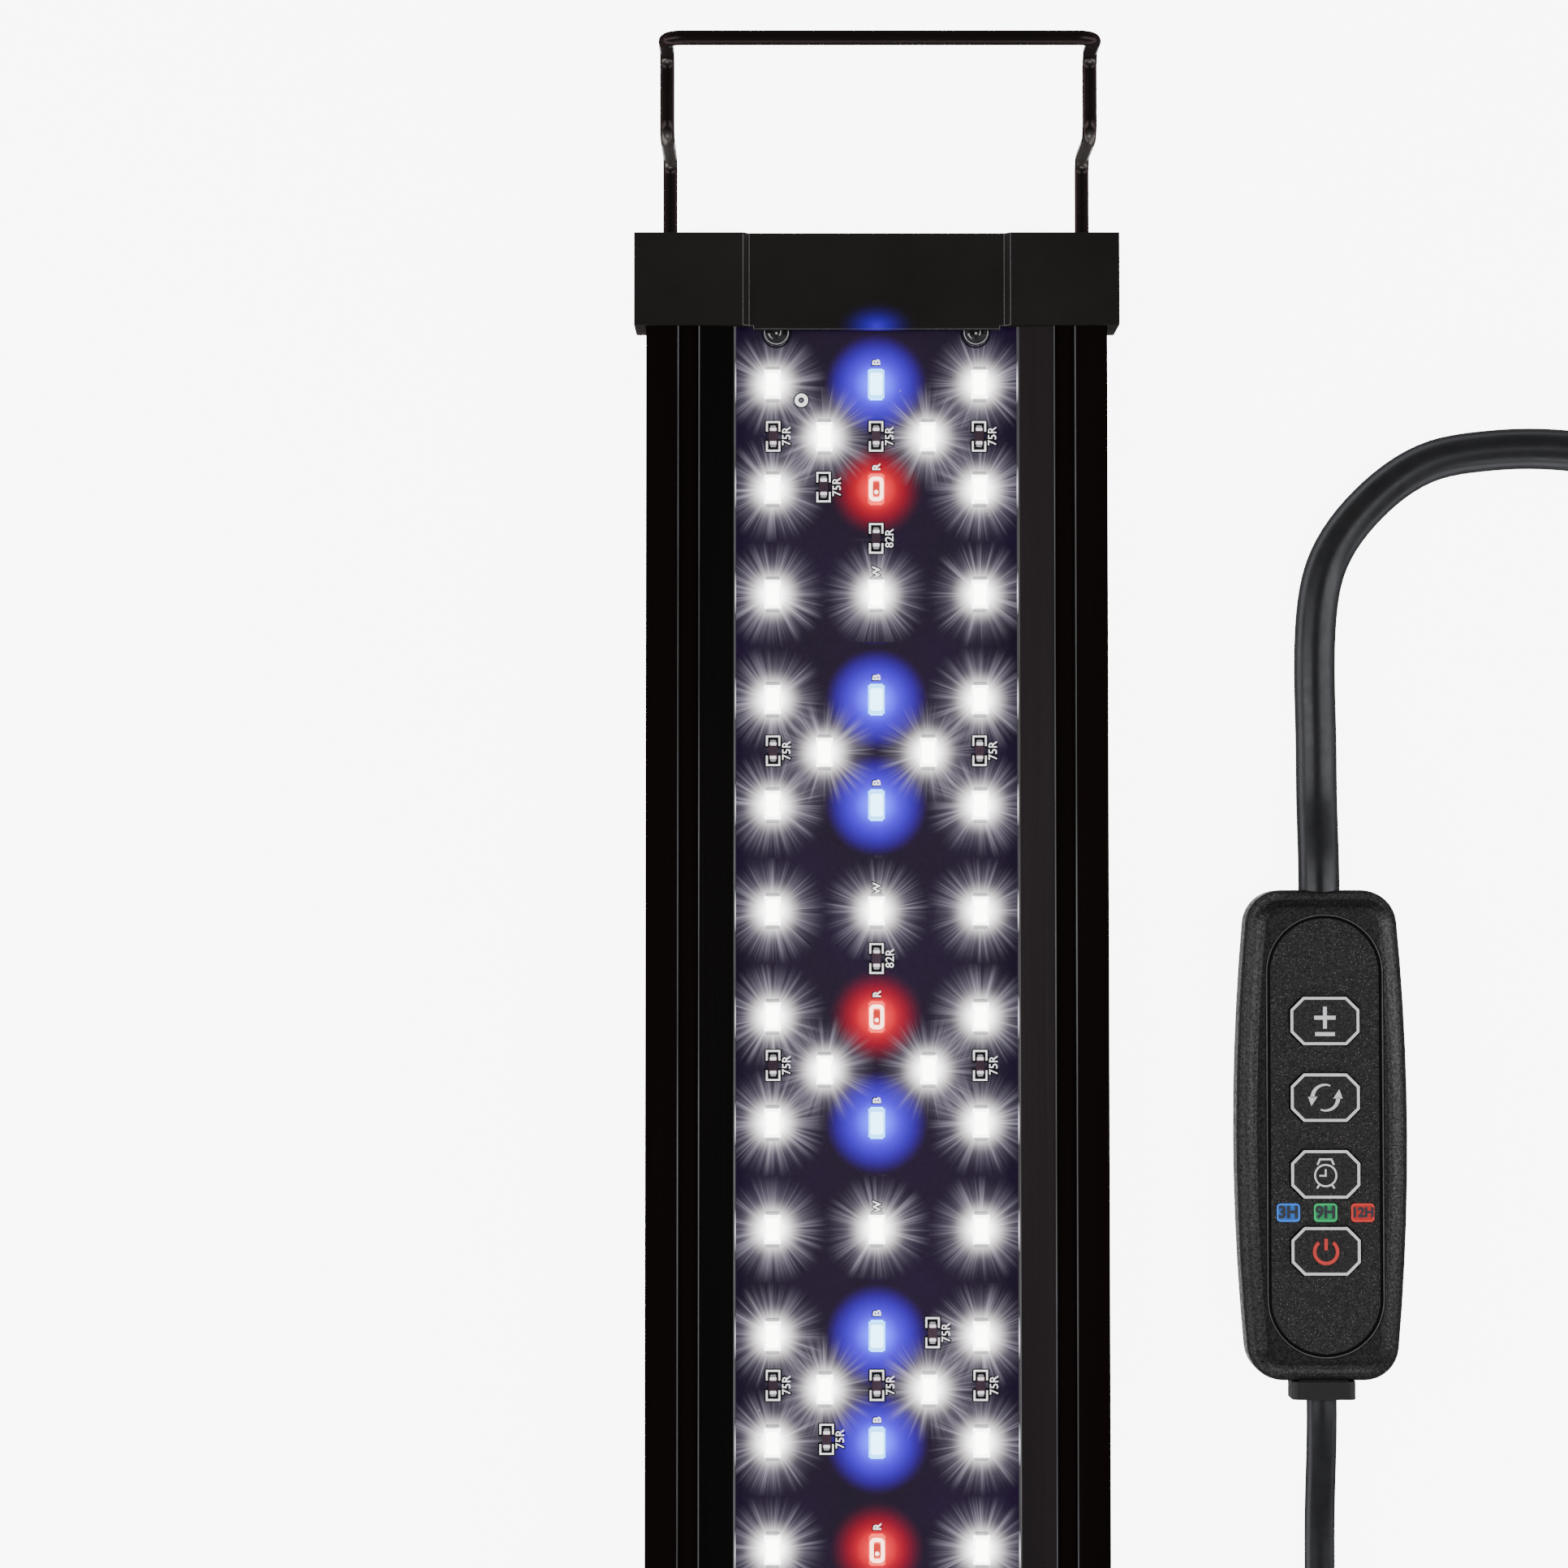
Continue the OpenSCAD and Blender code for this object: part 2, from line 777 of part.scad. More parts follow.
module key_panel() {
    color([0.09, 0.09, 0.09])
        translate(case_at)
            translate([0, 0, recess_z + 0.05])
                linear_extrude(panel_t)
                    difference() {
                        panel_outline(0);
                        for (y = keys_y)
                            translate([0, y]) key_outline(key_gap);
                        for (x = window_places)
                            translate([x, window_y])
                                square(window_size + [0.1, 0.1], center = true);
                    }
}

// One key: cap, flange under the case's web, and a stem over its switch
module key(i) {
    flange_z = web_z - 0.05 - flange_t;
    stem_z = switch_top + key_travel + 0.05;
    color([0.1, 0.1, 0.1])
        translate(case_at)
            translate([0, keys_y[i], 0]) {
                translate([0, 0, flange_z])
                    linear_extrude(key_top - flange_z) key_outline(0);
                translate([0, 0, flange_z])
                    linear_extrude(flange_t) key_outline(0.9);
                translate([0, 0, stem_z])
                    cylinder(h = flange_z - stem_z + skin, r = 1.6);
            }
}

module brightness_key() { key(0); }
module mode_key() { key(1); }
module timer_key() { key(2); }
module power_key() { key(3); }

module timer_windows() {
    shades = [[0.1, 0.35, 0.85], [0.1, 0.6, 0.2], [0.75, 0.12, 0.1]];
    stub_z = pcb_top + 1.2;
    translate(case_at)
        for (i = [0:2])
            color(shades[i])
                translate([window_places[i], window_y, 0]) {
                    translate([0, 0, recess_z + 0.05 + panel_t / 2])
                        cube([window_size[0], window_size[1], panel_t], center = true);
                    translate([0, 0, stub_z])
                        cylinder(h = recess_z + 0.2 - stub_z, r = 0.9);
                }
}

module control_board() {
    color([0.05, 0.28, 0.12])
        translate(case_at)
            difference() {
                translate([-11.5, -36.5, pcb_z])
                    cube([23, 73, pcb_t]);
                at_posts() cylinder(h = 8, r = 1.3);
            }
}

module tact_switches() {
    color([0.2, 0.2, 0.2])
        translate(case_at)
            for (y = keys_y)
                translate([0, y, pcb_top]) {
                    translate([-3, -3, 0]) cube([6, 6, 3.5]);
                    cylinder(h = switch_top - pcb_top, r = 1.7);
                }
}

module indicator_leds() {
    color([0.95, 0.95, 0.9])
        translate(case_at)
            for (x = window_places)
                translate([x - 0.8, window_y - 0.4, pcb_top])
                    cube([1.6, 0.8, 0.8]);
}

// Timer chip and the three switching transistors
module driver_chips() {
    color([0.08, 0.08, 0.08])
        translate(case_at) {
            translate([-7.8, -12, pcb_top]) cube([3.9, 4.9, 1.5]);
            for (i = [0:2])
                translate([-3.5 + 3.2 * i, 28.5, pcb_top]) cube([1.4, 2.9, 1]);
        }
}

module case_screws() {
    color([0.7, 0.7, 0.72])
        translate(case_at)
            at_posts()
                difference() {
                    union() {
                        translate([0, 0, 0.3]) cylinder(h = 1.1, r = 1.9);
                        cylinder(h = 9, r = 0.87);
                    }
                    translate([-1.2, -0.2, -1]) cube([2.4, 0.4, 1.9]);
                    translate([-0.2, -1.2, -1]) cube([0.4, 2.4, 1.9]);
                }
}

// Strain relief at the controller's lower end, held in its end wall
module case_boot() {
    corner = 1.3;
    x = case_boot_size[0] / 2 - corner;
    z = case_boot_size[2] / 2 - corner;
    color([0.09, 0.09, 0.09])
        translate(case_at)
            translate([0, -case_l / 2, split_z]) {
                hull()
                    for (sx = [-1, 1], sz = [-1, 1])
                        rod_y(sx * x, sz * z, -case_boot_size[1],
                              case_boot_size[1] - 0.1, corner, $fn = 24);
                translate([-boot_neck[0] / 2, -0.2, -boot_neck[1] / 2])
                    cube([boot_neck[0], boot_flange_y + 0.4, boot_neck[1]]);
                translate([-boot_flange[0] / 2, boot_flange_y, -boot_flange[2] / 2])
                    cube(boot_flange);
            }
}

// Insulated wires from the two cords to the controller's board
module case_leads() {
    lead_r = 0.5;
    lead_z = pcb_top + lead_r + 0.02;
    color([0.7, 0.12, 0.1])
        translate(case_at) {
            for (i = [-1.5:1.5])
                rod_y(i * 1.3, lead_z, 33, 6.4, lead_r);
            for (s = [-1, 1])
                rod_y(s * 0.8, lead_z, -case_l / 2 + boot_flange_y + boot_flange[1], 8, lead_r);
        }
}

// ---- Cords and plug ----

// Length of the vector from a to b made 1
function unit(v) = v / norm(v);

// Direction of the route at point i
function heading(route, i) =
    unit(route[min(i + 1, len(route) - 1)] - route[max(i - 1, 0)]);

// Sideways direction that stays level, and the one square to it
function side_of(t) = unit(cross([0, 0, 1], t));
function up_of(t) = cross(t, side_of(t));

// Corners of the ring of a tube at point i
function ring(route, i, r, sides) =
    let (t = heading(route, i), u = side_of(t), v = up_of(t))
    [for (k = [0:sides - 1])
        route[i] + r * (cos(360 * k / sides) * u + sin(360 * k / sides) * v)];

// One closed tube swept along a route
module tube(route, d, sides = 10) {
    loft([for (i = [0:len(route) - 1]) ring(route, i, d / 2, sides)]);
}

module lamp_cord() {
    color([0.1, 0.1, 0.105]) tube(lamp_route, lamp_cord_d);
}

module supply_cord() {
    color([0.1, 0.1, 0.105]) tube(supply_route, supply_cord_d);
}

module plug_lead() {
    color([0.1, 0.1, 0.105]) tube(lead_route, supply_cord_d);
}

// Section through the wound cord, on one side of the coil's axis
module coil_section() {
    polygon([
        [coil_in, coil_low], [coil_out, coil_low], [coil_out, 6], [34.6, 11],
        [31.7, 16.2], [26.1, 16.2], [23.2, 11], [coil_in, 6]
    ]);
}

module supply_coil() {
    color([0.1, 0.1, 0.105])
        translate(coil_at)
            rotate_extrude($fn = 96)
                coil_section();
}

// Strap round the coil, on its far side from the lamp
module cord_tie() {
    color([0.2, 0.2, 0.2])
        translate(coil_at)
            along_y(-tie_w / 2, tie_w)
                difference() {
                    offset(delta = tie_gap + tie_t) coil_section();
                    offset(delta = tie_gap) coil_section();
                }
}

// Puts children that are drawn along +Z on the plug's axis, which points to -Y
module on_plug() {
    translate(plug_at)
        rotate([90, 0, 0])
            children();
}

module plug_grip() {
    neck_r = supply_cord_d / 2 + 0.5;
    color([0.09, 0.09, 0.09])
        on_plug()
            difference() {
                union() {
                    rotate_extrude()
                        polygon([
                            [0, 0], [neck_r, 0], [4.1, 9], [4.9, 11], [5.5, 12.5],
                            [5.5, grip_l - 1], [4.8, grip_l], [0, grip_l]
                        ]);
                    for (i = [0:2])
                        translate([0, 0, 2 + 2.4 * i])
                            cylinder(h = 1, r = neck_r + 0.7 + 0.2 * i);
                }
                translate([0, 0, grip_l - tail_l]) cylinder(h = tail_l + 1, r = tail_r);
            }
}

module plug_sleeve() {
    color([0.8, 0.8, 0.82])
        on_plug()
            difference() {
                union() {
                    translate([0, 0, grip_l]) cylinder(h = barrel_l, r = barrel_r);
                    translate([0, 0, grip_l - tail_l]) cylinder(h = tail_l + 1, r = tail_r);
                }
                translate([0, 0, grip_l - tail_l - 1])
                    cylinder(h = tail_l + barrel_l + 2, r = insulator_r);
            }
}

module plug_insulator() {
    color([0.08, 0.08, 0.08])
        on_plug()
            translate([0, 0, grip_l - tail_l])
                difference() {
                    cylinder(h = tail_l + barrel_l - 0.1, r = insulator_r);
                    translate([0, 0, -1])
                        cylinder(h = tail_l + barrel_l + 2, r = contact_r);
                }
}

module plug_contact() {
    color([0.8, 0.7, 0.35])
        on_plug()
            translate([0, 0, grip_l - tail_l])
                difference() {
                    cylinder(h = tail_l + barrel_l - 0.4, r = contact_r);
                    translate([0, 0, 1])
                        cylinder(h = tail_l + barrel_l, r = plug_bore_r);
                }
}

heat_sink();
end_cap_top();
end_cap_bottom();
gasket_top();
gasket_bottom();
cap_screws();
thermal_pad();
led_board();
white_leds();
blue_leds();
red_leds();
resistors();
board_screws();
lens();
board_leads();
bracket_top();
bracket_bottom();
bracket_shoes_top();
bracket_shoes_bottom();
cord_boot();
case_upper();
case_lower();
key_panel();
brightness_key();
mode_key();
timer_key();
power_key();
timer_windows();
control_board();
tact_switches();
indicator_leds();
driver_chips();
case_screws();
case_boot();
case_leads();
lamp_cord();
supply_cord();
supply_coil();
plug_lead();
cord_tie();
plug_grip();
plug_sleeve();
plug_insulator();
plug_contact();
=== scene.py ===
"""Looks of an LED aquarium lamp with wire brackets and an inline timer controller."""
import math

import bmesh
import bpy
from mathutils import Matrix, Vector


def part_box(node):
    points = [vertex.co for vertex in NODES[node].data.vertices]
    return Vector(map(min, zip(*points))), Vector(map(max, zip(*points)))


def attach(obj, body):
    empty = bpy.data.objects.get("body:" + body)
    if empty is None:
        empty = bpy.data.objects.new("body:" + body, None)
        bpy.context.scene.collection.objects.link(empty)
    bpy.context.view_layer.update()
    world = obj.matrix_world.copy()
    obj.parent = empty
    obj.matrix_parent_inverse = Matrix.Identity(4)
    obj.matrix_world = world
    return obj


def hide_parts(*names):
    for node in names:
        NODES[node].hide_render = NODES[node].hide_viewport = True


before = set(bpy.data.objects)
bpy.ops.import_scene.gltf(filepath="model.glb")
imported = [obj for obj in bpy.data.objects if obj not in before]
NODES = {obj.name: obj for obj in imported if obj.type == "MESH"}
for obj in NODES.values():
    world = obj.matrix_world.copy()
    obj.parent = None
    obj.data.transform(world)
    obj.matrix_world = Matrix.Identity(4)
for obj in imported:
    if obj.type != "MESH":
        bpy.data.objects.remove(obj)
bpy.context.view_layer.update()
MM = 0.001

# ---- Places, from the frame ----

board_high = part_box("led_board")[1]
WINDOW_X, BOARD_TOP = board_high.x, board_high.z
PANEL_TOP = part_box("key_panel")[1].z
WINDOW_PITCH = 6.8 * MM

# Size of a light with its soldered ends, the side columns of lights, and the rows along the
# lamp with the colour of each one's middle light
LED_WIDTH, LED_LENGTH = 3.0 * MM, 5.8 * MM
white_low, white_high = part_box("white_leds")
LED_COLUMN = (white_high.x - white_low.x - LED_WIDTH) / 2
FIRST_ROW = white_high.y - LED_LENGTH / 2
MIDDLE_COLUMN = "BRWBBWRBWBBRWB"
LED_ROWS = len(MIDDLE_COLUMN)
ROW_PITCH = 2 * FIRST_ROW / (LED_ROWS - 1)

# Marks on the board: where each stands from its part, and the ring's middle
LETTER_ABOVE = 4.1 * MM
VALUE_BESIDE = 2.5 * MM
TEST_PAD = (-13.8 * MM, 123.4 * MM)


def row_y(row):
    return FIRST_ROW - row * ROW_PITCH


def centre(low, high):
    """Middle of a box, seen from above."""
    return (low.x + high.x) / 2, (low.y + high.y) / 2


CASE_X = centre(*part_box("case_upper"))[0]


def solids(node):
    """Low and high corner of every separate solid of a CAD node."""
    mesh = NODES[node].data
    home = {}

    def root(key):
        while home.setdefault(key, key) != key:
            key = home[key]
        return key

    def key_of(index):
        return tuple(round(c * 1e5) for c in mesh.vertices[index].co)

    for polygon in mesh.polygons:
        first = root(key_of(polygon.vertices[0]))
        for index in polygon.vertices[1:]:
            home[root(key_of(index))] = first
    groups = {}
    for vertex in mesh.vertices:
        groups.setdefault(root(key_of(vertex.index)), []).append(vertex.co)
    return [
        (Vector(map(min, *points)), Vector(map(max, *points))) for points in groups.values()
    ]


# ---- Camera ----

AIM = Vector((-17, 52.3, 16)) * MM
CAMERA_DISTANCE = 0.68
CAMERA_TILT = math.radians(2.1)
VIEW_WIDTH = 0.2865
SENSOR_WIDTH = 36


def make_camera():
    data = bpy.data.cameras.new("camera")
    data.sensor_width = SENSOR_WIDTH
    data.lens = SENSOR_WIDTH * CAMERA_DISTANCE / VIEW_WIDTH
    data.clip_start, data.clip_end = 0.01, 10
    camera = bpy.data.objects.new("camera", data)
    back = Vector((0, -math.sin(CAMERA_TILT), math.cos(CAMERA_TILT)))
    camera.location = AIM + CAMERA_DISTANCE * back
    camera.rotation_mode = "QUATERNION"
    camera.rotation_quaternion = (-back).to_track_quat("-Z", "Y")
    bpy.context.scene.collection.objects.link(camera)
    bpy.context.scene.camera = camera


make_camera()

# ---- Cords ----

LAMP_CORD_D = 0.0076
SUPPLY_CORD_D = 0.0056
LAMP_ROUTE = [
    (19, -175.5, 11), (19, -180, 11), (19, -187, 10.7), (21.5, -199.5, 8.9),
    (28.5, -210, 6), (39.5, -217.5, 4.2), (52, -220, 3.8), (70, -221, 3.8),
    (90, -221.5, 3.8), (110, -221, 3.8), (130, -220, 3.8), (142.5, -217.5, 3.8),
    (153.5, -210, 3.8), (160.5, -199.5, 3.8), (163, -187, 3.8), (164, -165, 3.8),
    (164.5, -140, 3.8), (164.5, -110, 3.8), (164, -80, 3.8), (163, -50, 3.8),
    (162.5, -20, 3.8), (162, 10, 3.8), (162, 40, 3.8), (162, 64, 3.8), (162, 82, 3.8),
    (159.5, 94.5, 3.8), (152, 105, 3.8), (141.5, 112.5, 3.8), (129, 115, 3.8),
    (115, 115, 3.8), (102.5, 112.5, 3.8), (92, 105, 3.8), (84.5, 94.5, 3.8),
    (82, 82, 3.8), (82, 58, 3.8), (82, 50, 4.1), (82, 44, 5.1), (82, 38.5, 6.1),
    (82, 33, 6.5), (82, 27.4, 6.5),
]
SUPPLY_ROUTE = [
    (82, -60.4, 6.5), (82, -64, 6.5), (82, -69, 6), (82, -75, 4.7), (82, -81, 3.4),
    (82, -88, 2.8), (82, -104, 2.8), (81.6, -116, 2.8), (80.2, -130, 2.9),
    (78.6, -143, 3.2), (77.6, -154, 3.6),
]
LEAD_ROUTE = [
    (106, -135.4, 13.7), (99, -135, 14.1), (92, -134.7, 13), (85, -134.8, 11),
    (78, -136.2, 9), (71, -139.4, 7.3), (64.5, -145, 6.1), (60.5, -153.5, 5.6),
    (59, -160, 5.5), (59, -164, 5.5),
]
# Each turn of the coil: radius in millimetres and height of the cord's middle
COIL_TURNS = [(34.6, 3.7), (28.9, 3.7), (23.2, 3.7), (26.1, 8.5), (31.7, 8.5), (28.9, 13.4)]
TURN_POINTS = 24
# Part of a turn that runs round before it eases into the next
EVEN_SHARE = 0.72


def coil_points():
    """Turns of the coil from its left side round, each easing into the next at its end."""
    low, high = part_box("supply_coil")
    middle = (low + high) / (2 * MM)
    points = []
    last = len(COIL_TURNS) * TURN_POINTS - TURN_POINTS // 4
    for step in range(last):
        turn, part = divmod(step, TURN_POINTS)
        here = COIL_TURNS[turn]
        then = COIL_TURNS[min(turn + 1, len(COIL_TURNS) - 1)]
        t = max(0, (part / TURN_POINTS - EVEN_SHARE) / (1 - EVEN_SHARE))
        ease = t * t * (3 - 2 * t)
        radius = here[0] + (then[0] - here[0]) * ease
        height = here[1] + (then[1] - here[1]) * ease
        a = math.pi + 2 * math.pi * step / TURN_POINTS
        points.append((middle.x + radius * math.cos(a), middle.y + radius * math.sin(a), height))
    return points


def cord_curve(name, points, diameter):
    """A round cord as one smooth spline through the points, given in millimetres."""
    curve = bpy.data.curves.new(name, "CURVE")
    curve.dimensions = "3D"
    curve.bevel_depth = 1
    curve.bevel_resolution = 6
    curve.resolution_u = 6
    curve.use_fill_caps = True
    spline = curve.splines.new("BEZIER")
    spline.bezier_points.add(len(points) - 1)
    places = [Vector(p) * MM for p in points]
    for i, point in enumerate(spline.bezier_points):
        before, after = places[max(i - 1, 0)], places[min(i + 1, len(places) - 1)]
        heading = (after - before).normalized()
        point.co = places[i]
        point.radius = diameter / 2
        point.handle_left_type = point.handle_right_type = "FREE"
        point.handle_left = places[i] - heading * (places[i] - before).length / 3
        point.handle_right = places[i] + heading * (after - places[i]).length / 3
    cord = bpy.data.objects.new(name, curve)
    bpy.context.scene.collection.objects.link(cord)
    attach(cord, "root")
    return cord


def make_cords():
    lamp_cord = cord_curve("lamp_cord_jacket", LAMP_ROUTE, LAMP_CORD_D)
    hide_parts("lamp_cord")
    supply_points = SUPPLY_ROUTE + coil_points() + LEAD_ROUTE[1:]
    supply_cord = cord_curve("supply_cord_jacket", supply_points, SUPPLY_CORD_D)
    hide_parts("supply_cord", "supply_coil", "plug_lead")
    return lamp_cord, supply_cord


LAMP_CORD, SUPPLY_CORD = make_cords()


# ---- Shader helpers ----

class Shader:
    """A material with a Principled shader, and short calls that add and join nodes."""

    def __init__(self, name, colour, roughness, metallic=0.0, specular=0.5):
        self.material = bpy.data.materials.new(name)
        self.material.use_nodes = True
        self.tree = self.material.node_tree
        self.surface = self.tree.nodes["Principled BSDF"]
        self.set("Base Color", (*colour, 1))
        self.set("Roughness", roughness)
        self.set("Metallic", metallic)
        self.set("Specular IOR Level", specular)

    def set(self, socket, value):
        self.surface.inputs[socket].default_value = value

    def link(self, source, socket):
        self.tree.links.new(source, self.surface.inputs[socket])

    def node(self, kind, **settings):
        made = self.tree.nodes.new(kind)
        for key, value in settings.items():
            setattr(made, key, value)
        return made

    def place(self):
        """Position in the object's own space, which is the row frame in metres."""
        return self.node("ShaderNodeTexCoord").outputs["Object"]

    def stretched(self, scale):
        mapping = self.node("ShaderNodeMapping")
        mapping.inputs["Scale"].default_value = scale
        self.tree.links.new(self.place(), mapping.inputs["Vector"])
        return mapping.outputs["Vector"]

    def noise(self, scale, stretch=(1, 1, 1), detail=3.0, roughness=0.55):
        made = self.node("ShaderNodeTexNoise")
        made.inputs["Scale"].default_value = scale
        made.inputs["Detail"].default_value = detail
        made.inputs["Roughness"].default_value = roughness
        self.tree.links.new(self.stretched(stretch), made.inputs["Vector"])
        return made.outputs["Fac"]

    def cells(self, scale):
        made = self.node("ShaderNodeTexVoronoi")
        made.inputs["Scale"].default_value = scale
        self.tree.links.new(self.place(), made.inputs["Vector"])
        return made

    def math(self, operation, a, b=None, clamp=False):
        made = self.node("ShaderNodeMath", operation=operation, use_clamp=clamp)
        for socket, value in zip(made.inputs, (a, b)):
            if value is None:
                continue
            if isinstance(value, (int, float)):
                socket.default_value = value
            else:
                self.tree.links.new(value, socket)
        return made.outputs[0]

    def ramp(self, factor, low, high, to_low=0.0, to_high=1.0):
        made = self.node("ShaderNodeMapRange", clamp=True)
        made.inputs["From Min"].default_value = low
        made.inputs["From Max"].default_value = high
        made.inputs["To Min"].default_value = to_low
        made.inputs["To Max"].default_value = to_high
        self.tree.links.new(factor, made.inputs["Value"])
        return made.outputs["Result"]

    def mix(self, factor, first, second):
        made = self.node("ShaderNodeMix", data_type="RGBA")
        for key, value in (("Factor", factor), ("A", first), ("B", second)):
            socket = next(s for s in made.inputs if s.name == key and s.enabled)
            if isinstance(value, (int, float)):
                socket.default_value = value
            elif isinstance(value, tuple):
                socket.default_value = (*value, 1)
            else:
                self.tree.links.new(value, socket)
        return next(s for s in made.outputs if s.name == "Result" and s.enabled)

    def split(self, vector):
        made = self.node("ShaderNodeSeparateXYZ")
        self.tree.links.new(vector, made.inputs[0])
        return made.outputs

    def bump(self, height, strength, distance):
        made = self.node("ShaderNodeBump")
        made.inputs["Strength"].default_value = strength
        made.inputs["Distance"].default_value = distance
        self.tree.links.new(height, made.inputs["Height"])
        self.link(made.outputs["Normal"], "Normal")


def set_material(target, shader):
    """Gives a CAD node, named by its text, or a piece one material."""
    data = (NODES[target] if isinstance(target, str) else target).data
    data.materials.clear()
    data.materials.append(shader.material)


# ---- Materials ----

def soft_gloss(s, share):
    """Gloss that fades towards the rim, so that the rim doesn't mirror the bright floor."""
    s.set("Metallic", share)
    s.set("Specular IOR Level", 0.0)
    s.set("Specular Tint", (0, 0, 0, 1))
    return s


def in_millimetres(s):
    """The x and y of the shaded point in the object's own space."""
    return [s.math("MULTIPLY", axis, 1 / MM) for axis in s.split(s.place())[:2]]


def moulded(name, colour, roughness, grain=900, depth=0.06, variation=0.25, specular=0.5):
    """Moulded plastic or rubber: fine grain, faint cloudiness in colour and gloss."""
    s = Shader(name, colour, roughness, specular=specular)
    cloud = s.noise(55, detail=4)
    lighter = tuple(min(1, c * (1 + variation) + 0.001) for c in colour)
    darker = tuple(c * (1 - variation) for c in colour)
    s.link(s.mix(cloud, darker, lighter), "Base Color")
    fine = s.noise(grain, detail=2)
    gloss = s.ramp(s.math("ADD", cloud, fine), 0.6, 1.4, roughness - 0.07, roughness + 0.1)
    s.link(gloss, "Roughness")
    s.bump(fine, depth, 0.0004)
    return s


def cap_plastic():
    """Black plastic with a painted glow from the blue light beside it."""
    s = moulded("cap_plastic", (0.0145, 0.0128, 0.0123), 0.48, grain=1400, depth=0.05)
    soft_gloss(s, 0.3)
    x, y = in_millimetres(s)
    # Painted blue glow, given as emission, on the caps past the end rows of lights.
    past_light = s.math("SUBTRACT", s.math("ABSOLUTE", y), FIRST_ROW / MM + 10)
    painted_blue_spill = pool(s, x, s.math("MULTIPLY", past_light, 1.6), 0.3, 8.0, 2.6)
    s.link(lit(s, (0.04, 0.0, 0.7), painted_blue_spill), "Emission Color")
    s.set("Emission Strength", 1.0)
    return s


def wire_coating():
    """Glossy black coating, with a painted reflection that makes the sloping steps of the
    bracket's arms paler.
    """
    s = moulded("wire_coating", (0.014, 0.0105, 0.0105), 0.22, grain=600, depth=0.03)
    soft_gloss(s, 0.6)
    black = s.surface.inputs["Base Color"].links[0].from_socket
    x, y = (s.math("ABSOLUTE", axis) for axis in s.split(s.place())[:2])
    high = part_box("bracket_top")[1]
    arms_from, arms_to = high.x - 6 * MM, high.y - 2.8 * MM
    arms = s.math("MULTIPLY", s.ramp(x, arms_from - 0.1 * MM, arms_from),
                  s.ramp(y, arms_to - 0.1 * MM, arms_to + 0.1 * MM, 1, 0))
    facing = s.math("ABSOLUTE", s.split(s.node("ShaderNodeNewGeometry").outputs["Normal"])[1])
    # Painted reflection: parts of the arms that face along Y get a paler colour.
    step = s.math("MULTIPLY", arms, s.ramp(facing, 0.35, 0.55))
    s.link(s.mix(step, black, (0.046, 0.042, 0.04)), "Base Color")
    return s


# Widths from the window's edge to the far side of the slope and to the outer groove
SLOPE_WIDTH = 6.5 * MM
OUTER_GROOVE = 10.4 * MM


def anodised():
    """Black anodised extrusion: fine lines along Y, a brown tinge, painted highlights along its
    edges, and a slope beside the window with painted light, paler on the right."""
    s = soft_gloss(Shader("anodised_aluminium", (0.008, 0.007, 0.007), 0.36), 0.3)
    drawn = s.noise(1800, stretch=(1, 0.012, 1), detail=3)
    broad = s.noise(90, stretch=(1, 0.05, 1), detail=3)
    across = s.math("ABSOLUTE", s.split(s.place())[0])
    slope_end = WINDOW_X + SLOPE_WIDTH
    slope = s.math("MULTIPLY", s.ramp(across, WINDOW_X, WINDOW_X + 0.1 * MM),
                   s.ramp(across, slope_end - 0.1 * MM, slope_end, 1, 0))
    deep = s.mix(broad, (0.0034, 0.0021, 0.0018), (0.0068, 0.0045, 0.004))
    # Painted light on the slope beside the window: darker on the left, paler on the right.
    right = s.ramp(s.split(s.place())[0], -MM, MM)
    pale = s.mix(right, s.mix(broad, (0.0025, 0.0022, 0.0022), (0.0055, 0.005, 0.0048)),
                 s.mix(broad, (0.013, 0.0105, 0.0115), (0.024, 0.02, 0.021)))
    black = s.mix(slope, deep, pale)
    # Painted highlights: thin pale lines at the window's edge, the slope's far edge and the outer
    # groove.
    edges = [
        s.ramp(s.math("ABSOLUTE", s.math("SUBTRACT", across, at)), 0.05 * MM, 0.15 * MM, 1, 0)
        for at in (WINDOW_X + 0.1 * MM, slope_end + 0.05 * MM, WINDOW_X + OUTER_GROOVE)
    ]
    painted_edge_lines = s.math("MAXIMUM", s.math("MAXIMUM", edges[0], edges[1]), edges[2])
    painted_edge_lines = s.math("MULTIPLY", painted_edge_lines, s.ramp(s.noise(60, stretch=(1, 0.3, 1)), 0.3, 0.7, 0.25, 1))
    s.link(s.mix(painted_edge_lines, black, (0.16, 0.16, 0.17)), "Base Color")
    s.link(s.ramp(drawn, 0.3, 0.7, 0.28, 0.46), "Roughness")
    s.bump(drawn, 0.12, 0.0002)
    return s


def metal(name, colour, roughness, grain=700):
    """Plated or bare metal with fine brushing and small tarnish patches."""
    s = Shader(name, colour, roughness, metallic=1.0)
    patches = s.noise(160, detail=4)
    s.link(s.mix(patches, tuple(c * 0.8 for c in colour), colour), "Base Color")
    brushed = s.ramp(s.noise(grain, detail=2), 0.3, 0.7, roughness * 0.75, roughness * 1.3)
    s.link(brushed, "Roughness")
    return s


def glowing(name, dark, pale, light, strength):
    """A part that gives light, with fine grain in its own colour and in its strength."""
    s = Shader(name, dark, 0.3)
    grain = s.noise(2500, detail=1)
    s.link(s.mix(grain, dark, pale), "Base Color")
    s.set("Emission Color", (*light, 1))
    s.link(s.ramp(grain, 0.2, 0.8, strength * 0.9, strength * 1.1), "Emission Strength")
    return s


